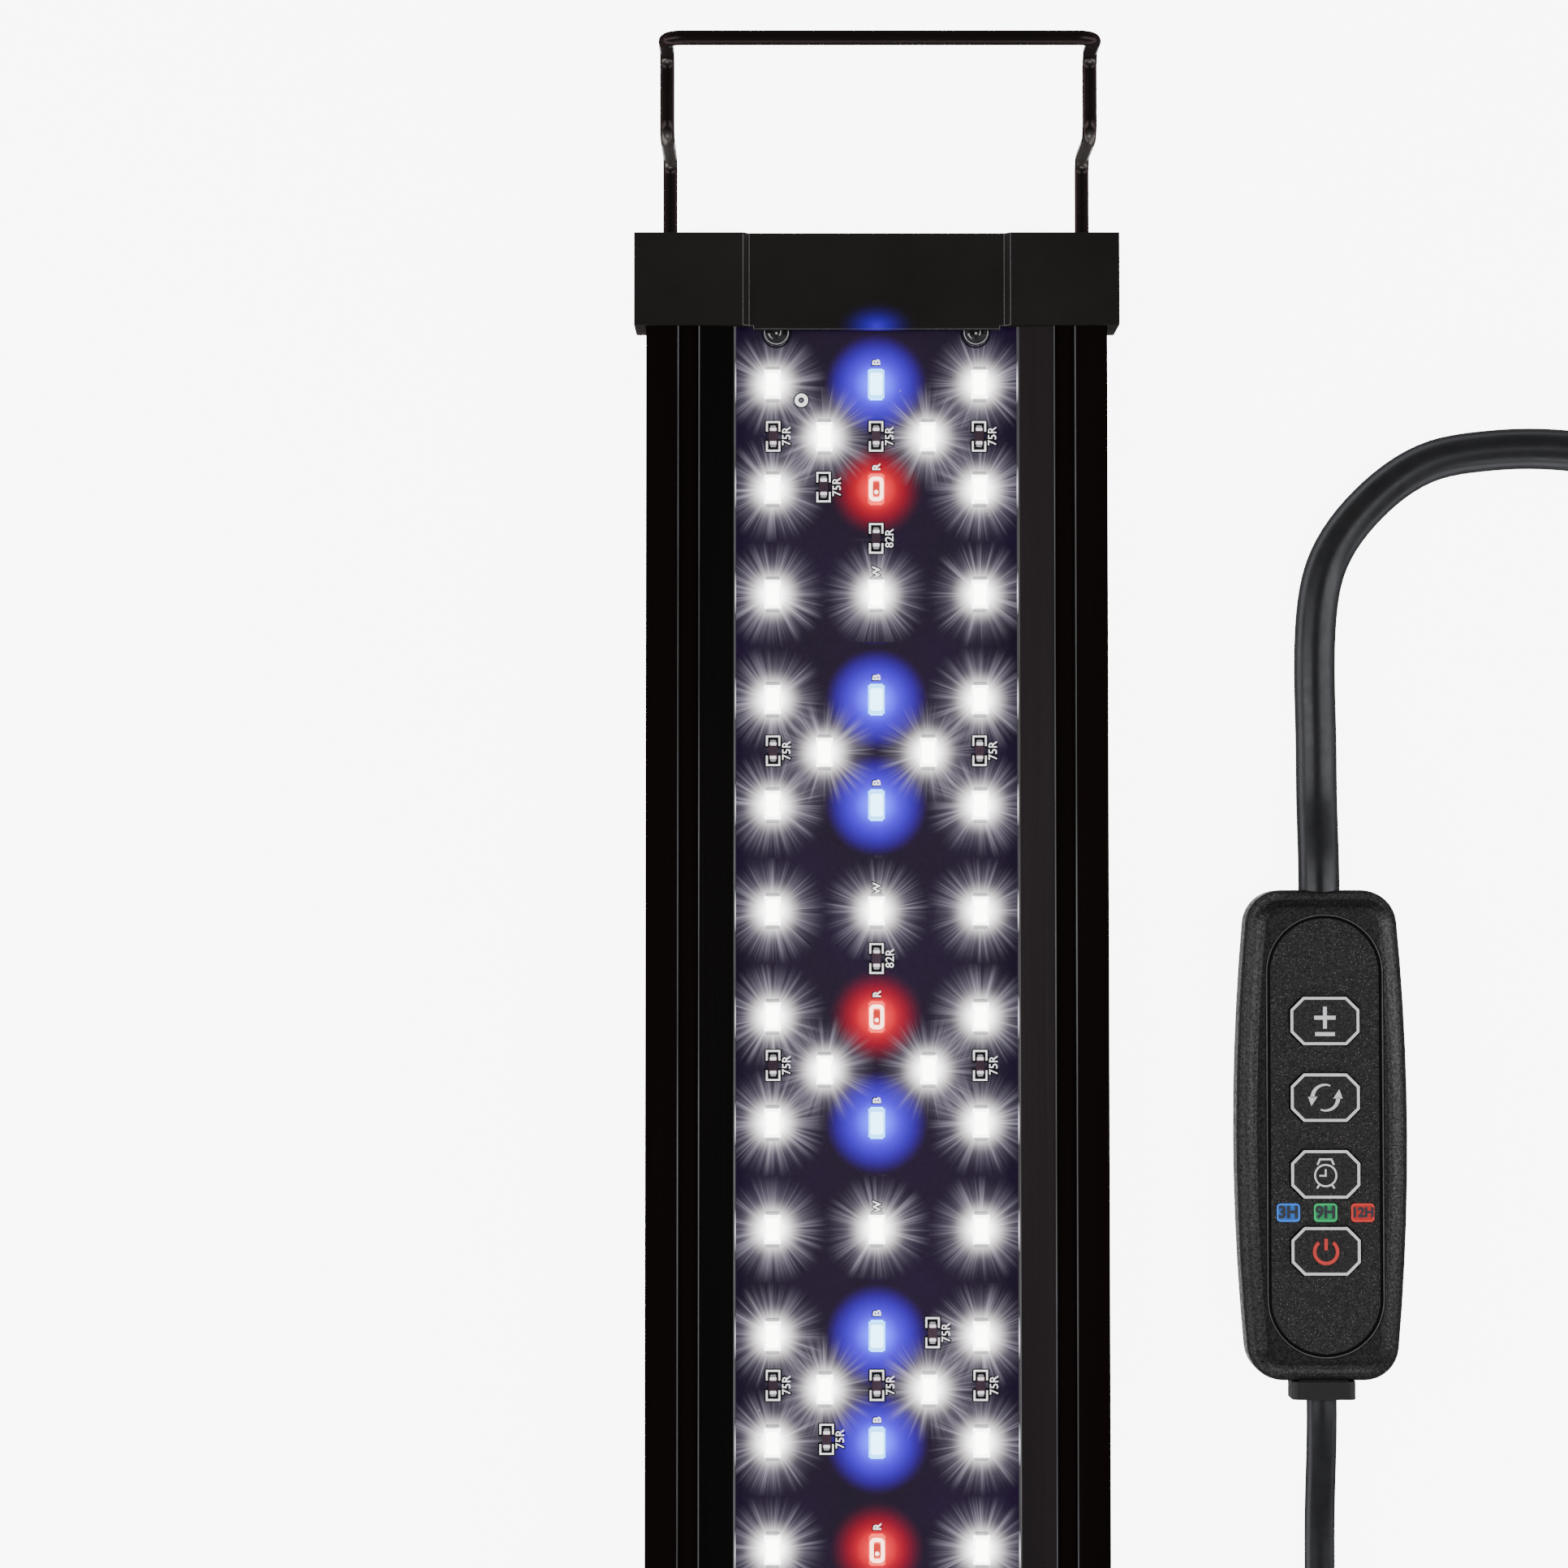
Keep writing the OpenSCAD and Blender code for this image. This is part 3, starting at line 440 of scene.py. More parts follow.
def clear_cover():
    """Clear acrylic: see-through, with painted glints along its edges, wipe marks, and a few
    specks of dust with a painted glint.
    """
    s = Shader("clear_acrylic", (0.02, 0.02, 0.022), 0.08)
    s.set("IOR", 1.49)
    axes = s.split(s.place())
    edge = s.math("SUBTRACT", s.math("ABSOLUTE", axes[0]), WINDOW_X - 0.16 * MM)
    line = s.ramp(edge, -0.06 * MM, 0.02 * MM)
    near = s.math("ABSOLUTE", lattice(s, axes[1], FIRST_ROW, ROW_PITCH)[0])
    glint = s.math("MULTIPLY", line, s.ramp(near, 0.5 * MM, 4 * MM, 1.5, 0.09))
    specks = s.cells(190)
    dust = s.ramp(specks.outputs["Distance"], 0.02, 0.035, 1, 0)
    rare = s.ramp(s.split(specks.outputs["Color"])[0], 0.8, 0.82)
    dust = s.math("MULTIPLY", dust, rare)
    # Painted glints as emission: along the window edges, strongest near each row of lights, and on
    # the dust specks.
    s.set("Emission Color", (0.93, 0.93, 1, 1))
    s.link(s.math("ADD", glint, s.math("MULTIPLY", dust, 0.5)), "Emission Strength")
    wiped = s.ramp(s.noise(260, stretch=(1, 0.1, 1)), 0.3, 0.8, 0.03, 0.08)
    s.link(s.math("ADD", wiped, s.math("ADD", line, dust), clamp=True), "Alpha")
    s.link(s.ramp(s.noise(400), 0.3, 0.7, 0.05, 0.12), "Roughness")
    return s


def flat_length(s, x, y):
    """Distance from the origin to (x, y), in the unit of the two sockets."""
    return s.math("SQRT", s.math("ADD", s.math("MULTIPLY", x, x), s.math("MULTIPLY", y, y)))


# How far the glow reaches from a light, in millimetres: half the pitch of the rows
GLOW_REACH = 9.7
BLACK, WHITE = (0, 0, 0), (1, 1, 1)


def starburst(s, x, y, seed):
    """White glow round one light: how strong its bright middle is, and how strong the thin
    uneven rays that fade outwards are."""
    distance = flat_length(s, x, y)
    core = s.math("POWER", s.ramp(distance, 1.4, 7.6, 1, 0), 5.0)
    veil = s.math("POWER", s.ramp(distance, 1.0, GLOW_REACH, 1, 0), 2.0)
    around = s.node("ShaderNodeCombineXYZ")
    for socket, value in zip(around.inputs, (
            s.math("MULTIPLY", s.math("DIVIDE", x, distance), 3.3),
            s.math("MULTIPLY", s.math("DIVIDE", y, distance), 3.3), seed)):
        s.tree.links.new(value, socket)
    rays = s.node("ShaderNodeTexNoise")
    rays.inputs["Scale"].default_value = 2.6
    rays.inputs["Detail"].default_value = 4
    rays.inputs["Roughness"].default_value = 0.75
    s.tree.links.new(around.outputs[0], rays.inputs["Vector"])
    spikes = s.math("POWER", s.ramp(rays.outputs["Fac"], 0.42, 0.72), 1.5)
    reach = s.math("POWER", s.ramp(distance, 2.0, 10.5, 1, 0), 1.5)
    thin = s.math("MULTIPLY", s.math("MULTIPLY", spikes, reach), 1.25)
    return s.math("MULTIPLY", core, 9.0), s.math("ADD", s.math("MULTIPLY", veil, 0.42), thin)


def pool(s, x, y, flat, reach, power):
    """Coloured glow round one light: even up to flat, then falling off to reach."""
    distance = flat_length(s, x, y)
    return s.math("POWER", s.ramp(distance, flat, reach, 1, 0), power)


def lattice(s, value, first, pitch):
    """Signed distance from the nearest of evenly spaced lines, and that line's number."""
    shifted = s.math("ADD", s.math("SUBTRACT", value, first), pitch / 2)
    nearest = s.math("SUBTRACT", s.math("FLOORED_MODULO", shifted, pitch), pitch / 2)
    return nearest, s.math("FLOOR", s.math("DIVIDE", shifted, pitch))


def by_row(s, y, letter, colour):
    """That colour in the rows whose middle light has the letter, and black in the others."""
    tints = s.node("ShaderNodeValToRGB")
    tints.color_ramp.interpolation = "CONSTANT"
    stops = tints.color_ramp.elements
    for i, here in enumerate(reversed(MIDDLE_COLUMN)):
        stop = stops[i] if i < 2 else stops.new(i / LED_ROWS)
        stop.position = i / LED_ROWS
        stop.color = (*(colour if here == letter else BLACK), 1)
    end = (FIRST_ROW + ROW_PITCH / 2) / MM
    s.tree.links.new(s.ramp(y, -end, end), tints.inputs["Fac"])
    return tints.outputs["Color"]


def lit(s, colour, amount):
    """A colour times an amount."""
    made = s.node("ShaderNodeVectorMath", operation="SCALE")
    if isinstance(colour, tuple):
        made.inputs[0].default_value = colour
    else:
        s.tree.links.new(colour, made.inputs[0])
    s.tree.links.new(amount, made.inputs["Scale"])
    return made.outputs[0]


def together(s, first, *others):
    """The sum of several colours."""
    for other in others:
        made = s.node("ShaderNodeVectorMath", operation="ADD")
        s.tree.links.new(first, made.inputs[0])
        s.tree.links.new(other, made.inputs[1])
        first = made.outputs[0]
    return first


def board_mask():
    """Black solder mask with a painted glow round each light, in that light's colour."""
    s = Shader("black_solder_mask", (0.008, 0.007, 0.009), 0.4, specular=0.25)
    fine = s.noise(1500, detail=2)
    s.link(s.mix(fine, (0.006, 0.003, 0.007), (0.014, 0.008, 0.015)), "Base Color")
    s.bump(fine, 0.05, 0.0002)
    x, y = in_millimetres(s)
    pitch, first, column = ROW_PITCH / MM, FIRST_ROW / MM, LED_COLUMN / MM
    row, row_number = lattice(s, y, first, pitch)
    side = s.math("SUBTRACT", s.math("ABSOLUTE", x), column)
    side_seed = s.math("ADD", row_number, s.math("MULTIPLY", s.math("SIGN", x), 41))
    sides = starburst(s, side, row, side_seed)
    pair_y, pair_number = lattice(s, y, first - pitch / 2, 3 * pitch)
    pair_x = s.math("SUBTRACT", s.math("ABSOLUTE", x), column / 2)
    pair_seed = s.math("ADD", pair_number, s.math("MULTIPLY", s.math("SIGN", x), 77))
    pairs = starburst(s, pair_x, pair_y, pair_seed)
    middle = starburst(s, x, row, row_number)
    in_row = s.split(by_row(s, y, "W", WHITE))[0]
    middle = [s.math("MULTIPLY", part, in_row) for part in middle]
    cores, rays = (s.math("ADD", s.math("ADD", sides[i], pairs[i]), middle[i]) for i in (0, 1))
    whites = together(s, lit(s, (1.0, 0.96, 0.92), cores), lit(s, (0.9, 0.85, 1.0), rays))
    # Painted violet haze over the whole mask, part of the painted glow.
    painted_violet_haze = s.mix(s.noise(70, detail=3), (0.0, 0.0, 0.002), (0.01, 0.0, 0.034))
    # Letter, colour, how far the pool is even, how far it reaches and how fast it falls off
    pools = [
        lit(s, by_row(s, y, letter, colour), pool(s, x, row, flat, reach, power))
        for letter, colour, flat, reach, power in (
            ("B", (0.09, 0.0, 3.0), 1.5, GLOW_REACH, 1.8),
            ("B", (0.05, 0.0, 0.1), 3.0, GLOW_REACH, 1.0),
            ("B", (0.02, 0.2, 1.5), 1.2, 4.4, 1.5),
            ("R", (1.0, 0.0, 0.004), 3.2, 9.2, 2.2),
            ("R", (1.3, 0.05, 0.05), 1.0, 4.0, 1.5))
    ]
    # All of this is painted glow, given as emission.
    s.link(together(s, whites, *pools, painted_violet_haze), "Emission Color")
    s.set("Emission Strength", 1.0)
    return s


def grained_case(name, colour, grain, depth, sparkle, roughness=0.5, mottling=(0.45, 2.6),
                 fleck_share=0.45):
    """Black ABS with a spark-eroded grain. Mottling is its darkest and palest share of the
    colour, and sparkle the strength of the bright flecks."""
    s = Shader(name, colour, roughness, specular=0.2)
    fine = s.noise(grain, detail=3, roughness=0.7)
    mottle = s.noise(grain * 1.5, detail=2, roughness=0.6)
    cells = s.cells(grain * 1.3)
    fleck = s.ramp(cells.outputs["Distance"], 0.0, 0.3, 1, 0)
    chosen = s.ramp(s.split(cells.outputs["Color"])[0], 1 - fleck_share, 1.2 - fleck_share)
    dark, light = (tuple(c * share for c in colour) for share in mottling)
    ground = s.mix(s.ramp(mottle, 0.35, 0.65), dark, light)
    bright = s.math("MULTIPLY", s.math("MULTIPLY", fleck, chosen), sparkle)
    s.link(s.mix(bright, ground, (0.3, 0.29, 0.28)), "Base Color")
    s.link(s.ramp(fine, 0.3, 0.7, roughness - 0.12, roughness + 0.12), "Roughness")
    s.bump(s.math("ADD", fine, fleck), depth, 0.0005)
    return s


def tinted_windows():
    """Three windows on one piece: blue, green and red from left to right, with round
    corners and brighter rims."""
    s = Shader("timer_window_tints", (0.1, 0.3, 0.6), 0.25)
    x, y = s.split(s.place())[:2]
    low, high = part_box("timer_windows")
    half_width, half_length = (high.x - low.x) / 2 - WINDOW_PITCH, (high.y - low.y) / 2
    corner = 0.7 * MM
    across = s.math("ABSOLUTE", lattice(s, x, CASE_X, WINDOW_PITCH)[0])
    along = s.math("ABSOLUTE", s.math("SUBTRACT", y, centre(low, high)[1]))
    past = [
        s.math("MAXIMUM", s.math("SUBTRACT", value, half - corner), 0)
        for value, half in ((across, half_width), (along, half_length))
    ]
    inward = s.math("SUBTRACT", corner, flat_length(s, *past))
    rim = s.ramp(inward, 0.3 * MM, 0.4 * MM, 1, 0)
    outside = s.ramp(inward, 0.0, 0.06 * MM, 1, 0)
    tints = s.node("ShaderNodeValToRGB")
    tints.color_ramp.interpolation = "CONSTANT"
    stops = tints.color_ramp.elements
    stops[0].color = (0.02, 0.13, 0.52, 1)
    stops[1].position = 0.33
    stops[1].color = (0.01, 0.3, 0.09, 1)
    red = stops.new(0.67)
    red.color = (0.45, 0.025, 0.02, 1)
    s.tree.links.new(s.ramp(x, CASE_X - 10 * MM, CASE_X + 10 * MM), tints.inputs["Fac"])
    grain = s.ramp(s.noise(1800, detail=2), 0.35, 0.75, 0, 0.3)
    tint = s.mix(grain, tints.outputs["Color"], (0.01, 0.01, 0.01))
    bright = lit(s, tints.outputs["Color"], s.ramp(rim, 0, 1, 1, 1.6))
    s.link(s.mix(outside, s.mix(rim, tint, bright), (0.006, 0.006, 0.006)), "Base Color")
    return s


MATERIALS = {
    "caps": cap_plastic(),
    # Paler grey for the caps' rounded edges over the window: a painted highlight.
    "painted_edge_highlight": moulded("painted_edge_highlight", (0.075, 0.075, 0.08), 0.25, grain=1400, depth=0.04,
                         specular=0.4),
    "aluminium": anodised(),
    "seal": moulded("seal_foam", (0.009, 0.009, 0.009), 0.85, grain=700, depth=0.4, specular=0.05),
    "screw": metal("zinc_screw", (0.09, 0.09, 0.093), 0.32),
    "dark_screw": metal("nickel_screw", (0.22, 0.22, 0.23), 0.22),
    "pad": moulded("silicone_pad", (0.5, 0.5, 0.52), 0.8, grain=500, depth=0.2),
    "board": board_mask(),
    "white_led": glowing("white_led", (0.9, 0.9, 0.88), (0.9, 0.85, 0.6), (1, 0.98, 0.94), 7),
    "blue_led": glowing("blue_led", (0.6, 0.75, 0.95), (0.3, 0.6, 1), (0.08, 0.5, 1.0), 4),
    "red_led": glowing("red_led", (0.8, 0.1, 0.08), (0.9, 0.2, 0.18), (1.0, 0.04, 0.03), 1.6),
    "red_rim": glowing("red_rim", (0.95, 0.75, 0.7), (1, 0.6, 0.55), (1.0, 0.55, 0.42), 5),
    "white_window": glowing("white_window", (0.9, 0.9, 0.8), (1, 0.95, 0.7), (1, 0.99, 0.95), 12),
    "blue_window": glowing("blue_window", (0.6, 0.8, 0.95), (0.4, 0.7, 1), (0.35, 0.75, 1.0), 7),
    "red_window": glowing("red_window", (0.4, 0.02, 0.02), (0.6, 0.05, 0.04), (1.0, 0.03, 0.02), 0.7),
    # White print with a painted glow, given as emission.
    "ink_painted_glow": glowing("white_ink_painted_glow", (0.72, 0.72, 0.72), (0.8, 0.8, 0.8), (1, 0.98, 1), 1.3),
    # Near-black without glow: a painted dark halo round prints and screws.
    "painted_dark_halo": moulded("painted_dark_halo", (0.006, 0.005, 0.008), 0.5, grain=1500, specular=0.05),
    "key_ink": moulded("key_ink", (0.62, 0.62, 0.65), 0.45, grain=3000, depth=0.15),
    "red_ink": moulded("red_ink", (0.5, 0.02, 0.015), 0.5, grain=3000, depth=0.15),
    "dark_ink": moulded("dark_ink", (0.008, 0.01, 0.02), 0.5, grain=3000, depth=0.15),
    "solder": moulded("solder", (0.4, 0.4, 0.42), 0.3, grain=1500, depth=0.2),
    # Tinned ends with a painted shine, given as emission.
    "tin_painted_shine": glowing("tinned_end_painted_shine", (0.6, 0.55, 0.6), (0.85, 0.8, 0.85), (1, 0.95, 1), 0.9),
    "rim": moulded("panel_rim", (0.06, 0.06, 0.06), 0.25),
    "resistor": moulded("resistor_glaze", (0.05, 0.026, 0.042), 0.25, grain=3000, depth=0.1,
                        variation=0.7),
    "lens": clear_cover(),
    "insulation": moulded("lead_insulation", (0.45, 0.04, 0.03), 0.4),
    "wire": wire_coating(),
    "nylon": moulded("shoe_nylon", (0.7, 0.7, 0.64), 0.5),
    "boot": soft_gloss(moulded("boot_pvc", (0.028, 0.028, 0.029), 0.42, depth=0.08), 0.4),
    # Near-black strip: painted shade in the gap round the panel.
    "groove": moulded("panel_groove_shade", (0.001, 0.001, 0.001), 0.7, specular=0.05),
    "case": soft_gloss(grained_case("case_abs", (0.022, 0.022, 0.0224), 1500, 0.22, 0.05,
                                    roughness=0.32, mottling=(0.7, 1.5)), 0.68),
    "panel": grained_case("panel_film", (0.0075, 0.007, 0.0068), 1900, 0.7, 0.9,
                          mottling=(0.15, 2.8), fleck_share=0.7),
    "key": grained_case("key_face", (0.008, 0.0075, 0.0075), 1500, 0.4, 0.3),
    "windows": tinted_windows(),
    "pcb": moulded("control_pcb", (0.01, 0.12, 0.04), 0.35),
    "switch": moulded("switch_body", (0.04, 0.04, 0.04), 0.5),
    "epoxy": moulded("clear_epoxy", (0.8, 0.8, 0.75), 0.2),
    "chip": moulded("chip_epoxy", (0.015, 0.015, 0.015), 0.55, grain=2000, depth=0.15),
    "cord": soft_gloss(moulded("cord_pvc", (0.027, 0.0273, 0.029), 0.34, grain=500, depth=0.05), 0.6),
    "tie": moulded("tie_nylon", (0.02, 0.02, 0.02), 0.5, grain=1500, depth=0.2),
    "nickel": metal("plug_nickel", (0.75, 0.74, 0.72), 0.18),
    "brass": metal("plug_brass", (0.75, 0.55, 0.22), 0.25),
}

NODE_MATERIALS = {
    "heat_sink": "aluminium", "end_cap_top": "caps", "end_cap_bottom": "caps",
    "gasket_top": "seal", "gasket_bottom": "seal", "cap_screws": "screw",
    "thermal_pad": "pad", "led_board": "board", "white_leds": "white_led",
    "blue_leds": "blue_led", "red_leds": "red_led", "resistors": "resistor",
    "board_screws": "dark_screw", "lens": "lens", "board_leads": "insulation",
    "bracket_top": "wire", "bracket_bottom": "wire", "bracket_shoes_top": "nylon",
    "bracket_shoes_bottom": "nylon", "cord_boot": "boot", "case_upper": "case",
    "case_lower": "case", "key_panel": "panel", "brightness_key": "key",
    "mode_key": "key", "timer_key": "key", "power_key": "key", "timer_windows": "windows",
    "control_board": "pcb", "tact_switches": "switch", "indicator_leds": "epoxy",
    "driver_chips": "chip", "case_screws": "screw", "case_boot": "boot",
    "case_leads": "insulation", "cord_tie": "tie", "plug_grip": "boot",
    "plug_sleeve": "nickel", "plug_insulator": "chip", "plug_contact": "brass",
}

for node, material in NODE_MATERIALS.items():
    set_material(node, MATERIALS[material])
for cord in (LAMP_CORD, SUPPLY_CORD):
    set_material(cord, MATERIALS["cord"])


# ---- Rounded edges ----

# Edges sharper than the first angle are rounded, and the second parts the smooth shading
SHARP_ANGLE, SHADING_ANGLE = 30, 35
CAP_ROUNDING = 0.3 * MM


def rounded_cap(node, highlight_to):
    """A copy of an end cap with its sharp edges rounded, which stands for the node. Its edges
    over the window carry a painted highlight, up to the given distance from the lamp's middle."""
    build = bmesh.new()
    build.from_mesh(NODES[node].data)
    bmesh.ops.remove_doubles(build, verts=build.verts, dist=1e-6)
    bmesh.ops.dissolve_limit(build, angle_limit=math.radians(0.5), verts=build.verts,
                             edges=build.edges, use_dissolve_boundaries=False)
    sharp = [e for e in build.edges
             if len(e.link_faces) == 2 and e.calc_face_angle(0) > math.radians(SHARP_ANGLE)]
    cut = bmesh.ops.bevel(build, geom=sharp, offset=CAP_ROUNDING, offset_type="OFFSET",
                          segments=2, profile=0.5, affect="EDGES", clamp_overlap=True)
    # Bevel faces over the window take the paler material: a painted highlight.
    for face in cut["faces"]:
        middle = face.calc_center_median()
        if abs(middle.x) < WINDOW_X and abs(middle.y) < highlight_to and middle.z > BOARD_TOP:
            face.material_index = 1
    mesh = bpy.data.meshes.new(node + "_rounded")
    for material in ("caps", "painted_edge_highlight"):
        mesh.materials.append(MATERIALS[material].material)
    build.to_mesh(mesh)
    build.free()
    for polygon in mesh.polygons:
        polygon.use_smooth = True
    mesh.set_sharp_from_angle(angle=math.radians(SHADING_ANGLE))
    cap = bpy.data.objects.new(node + "_rounded", mesh)
    bpy.context.scene.collection.objects.link(cap)
    even = cap.modifiers.new("even", "WEIGHTED_NORMAL")
    even.weight = 100
    even.keep_sharp = True
    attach(cap, "root")
    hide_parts(node)


for cap in ("end_cap_top", "end_cap_bottom"):
    rounded_cap(cap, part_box("end_cap_top")[1].y - MM)


# ---- Printed marks and small parts ----

class Marks:
    """Thin flat shapes gathered into one piece, with their tops at height z."""

    def __init__(self, z):
        self.z = z
        self.points = []
        self.faces = []

    def fill(self, outline):
        """One flat face inside an outline."""
        start = len(self.points)
        self.points.extend(outline)
        self.faces.append(list(range(start, start + len(outline))))

    def strip(self, path, width, closed=False):
        """A line of even width along a path with mitred corners."""
        count = len(path)
        left, right = [], []
        for i in range(count):
            here = Vector(path[i])
            before = Vector(path[i - 1] if i or closed else path[0])
            after = Vector(path[(i + 1) % count] if i < count - 1 or closed else path[-1])
            first = (here - before).normalized() if here != before else (after - here).normalized()
            second = (after - here).normalized() if here != after else first
            across = Vector((-(first + second).y, (first + second).x)).normalized()
            stretch = 1 / max(0.4, across.dot(Vector((-first.y, first.x))))
            left.append(here + across * width / 2 * stretch)
            right.append(here - across * width / 2 * stretch)
        start = len(self.points)
        self.points.extend([tuple(p) for pair in zip(left, right) for p in pair])
        for i in range(count if closed else count - 1):
            a, b = start + 2 * i, start + 2 * ((i + 1) % count)
            self.faces.append([a, a + 1, b + 1, b])

    def arc(self, x, y, radius, start, end, widths, steps=24):
        """Part of a ring from angle start to end in degrees; its width may change on the way."""
        for i in range(steps):
            corners = []
            for j, sign in ((i, -1), (i, 1), (i + 1, 1), (i + 1, -1)):
                t = j / steps
                a = math.radians(start + (end - start) * t)
                r = radius + sign * (widths[0] + (widths[1] - widths[0]) * t) / 2
                corners.append((x + r * math.cos(a), y + r * math.sin(a)))
            self.fill(corners)

    def text(self, word, x, y, size, turn=0, weight=0.02):
        """Plain letters centred on (x, y)."""
        font = bpy.data.curves.new("letters", "FONT")
        font.body = word
        font.size = size
        font.align_x, font.align_y = "CENTER", "CENTER"
        font.resolution_u = 2
        font.offset = size * weight
        holder = bpy.data.objects.new("letters", font)
        bpy.context.scene.collection.objects.link(holder)
        ready = holder.evaluated_get(bpy.context.evaluated_depsgraph_get())
        mesh = ready.to_mesh()
        c, d = math.cos(math.radians(turn)), math.sin(math.radians(turn))
        start = len(self.points)
        self.points.extend((x + c * v.co.x - d * v.co.y, y + d * v.co.x + c * v.co.y)
                           for v in mesh.vertices)
        self.faces.extend([start + i for i in p.vertices] for p in mesh.polygons)
        ready.to_mesh_clear()
        bpy.data.objects.remove(holder)
        bpy.data.curves.remove(font)

    def piece(self, name, body, material, slot, thickness=0.04 * MM):
        """Makes the piece: every shape as a thin slab."""
        mesh = bpy.data.meshes.new(name)
        mesh.from_pydata([(p[0], p[1], self.z) for p in self.points], [], self.faces)
        build = bmesh.new()
        build.from_mesh(mesh)
        bmesh.ops.recalc_face_normals(build, faces=build.faces)
        for face in build.faces:
            if face.normal.z < 0:
                face.normal_flip()
        grown = bmesh.ops.extrude_face_region(build, geom=build.faces[:])
        top = [v for v in grown["geom"] if isinstance(v, bmesh.types.BMVert)]
        bmesh.ops.translate(build, verts=top, vec=(0, 0, thickness))
        bmesh.ops.recalc_face_normals(build, faces=build.faces)
        build.to_mesh(mesh)
        build.free()
        made = bpy.data.objects.new(name, mesh)
        bpy.context.scene.collection.objects.link(made)
        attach(made, body)
        set_material(made, MATERIALS[material])
        return made


def rounded_box(width, length, corner, steps=4):
    """Outline of a rectangle with round corners, anticlockwise round the origin."""
    outline = []
    for turn, (sx, sy) in enumerate(((1, 1), (-1, 1), (-1, -1), (1, -1))):
        for i in range(steps + 1):
            a = math.radians(90 * turn + 90 * i / steps)
            outline.append((sx * (width / 2 - corner) + corner * math.cos(a),
                            sy * (length / 2 - corner) + corner * math.sin(a)))
    return outline


def moved(outline, x, y):
    return [(p[0] + x, p[1] + y) for p in outline]


def make_board_marks():
    """White print on the board, with a painted glow: a frame and a value at each resistor, a
    letter at each middle light, and a ring round the test pad. A painted dark halo lies
    round all of it."""
    # The ground marks are a painted dark halo: they cover the board's painted glow round every print.
    ground, prints = Marks(BOARD_TOP + 0.005 * MM), Marks(BOARD_TOP + 0.04 * MM)
    half, tall, arm = 1.15 * MM, 2.65 * MM, 1.75 * MM
    for box in solids("resistors"):
        x, y = centre(*box)
        for end in (1, -1):
            ground.fill(moved(rounded_box(2 * half + 0.85 * MM, arm + 0.75 * MM, 0.3 * MM),
                              x, y + end * (tall - arm / 2)))
            inner, outer = y + end * (tall - arm), y + end * tall
            prints.strip([(x - half, inner), (x - half, outer),
                          (x + half, outer), (x + half, inner)], 0.32 * MM)
        row_above = round((FIRST_ROW - y) / ROW_PITCH - 0.5)
        value = "82R" if abs(x) < MM and row_above % 3 else "75R"
        for marks, weight in ((ground, 0.11), (prints, 0.005)):
            marks.text(value, x + VALUE_BESIDE, y, 2.2 * MM, 90, weight)
    for row, letter in enumerate(MIDDLE_COLUMN):
        for marks, weight in ((ground, 0.12), (prints, 0.03)):
            marks.text(letter, 0.1 * MM, row_y(row) + LETTER_ABOVE, 2.0 * MM, 90, weight)
    for marks, width in ((ground, 1.15 * MM), (prints, 0.7 * MM)):
        marks.arc(*TEST_PAD, 0.9 * MM, 0, 360, (width, width))
    ground.piece("print_dark_halo", "root", "painted_dark_halo", "board_mask", thickness=0.02 * MM)
    prints.piece("board_print", "root", "ink_painted_glow", "led_white")


def make_led_details():
    """Glowing windows in the LED frames, bright rims and chips in the red ones, and solder
    and tinned ends, with a painted shine, at the small parts."""
    for node, material, slot, width, length in (
            ("white_leds", "white_window", "led_white", 2.2 * MM, 4.0 * MM),
            ("blue_leds", "blue_window", "led_blue", 2.3 * MM, 4.1 * MM),
            ("red_leds", "red_window", "led_red", 1.3 * MM, 2.5 * MM)):
        windows = Marks(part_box(node)[1].z + 0.01 * MM)
        for box in solids(node):
            windows.fill(moved(rounded_box(width, length, 0.5 * MM), *centre(*box)))
        windows.piece(node[:-1] + "_windows", "root", material, slot)
    rims = Marks(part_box("red_leds")[1].z + 0.02 * MM)
    for box in solids("red_leds"):
        x, y = centre(*box)
        rims.strip(moved(rounded_box(2.0 * MM, 3.8 * MM, 0.6 * MM), x, y), 0.7 * MM, closed=True)
        rims.arc(x, y - 0.6 * MM, 0.2 * MM, 0, 360, (0.4 * MM, 0.4 * MM), 12)
    rims.piece("red_led_rims", "root", "red_rim", "led_white")
    solder = Marks(BOARD_TOP + 0.01 * MM)
    for node, width in (("white_leds", 2.5 * MM), ("resistors", 1.1 * MM)):
        for low, high in solids(node):
            for y in (low.y - 0.05 * MM, high.y + 0.05 * MM):
                solder.fill(moved(rounded_box(width, 0.7 * MM, 0.25 * MM), centre(low, high)[0], y))
    solder.piece("solder_joints", "root", "solder", "screw_steel", thickness=0.3 * MM)
    # Tinned ends of the resistors, with a painted shine.
    ends = Marks(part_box("resistors")[1].z + 0.005 * MM)
    for low, high in solids("resistors"):
        for y in (low.y + 0.35 * MM, high.y - 0.35 * MM):
            ends.fill(moved(rounded_box(1.2 * MM, 0.6 * MM, 0.15 * MM), centre(low, high)[0], y))
    ends.piece("resistor_ends", "root", "tin_painted_shine", "screw_steel")


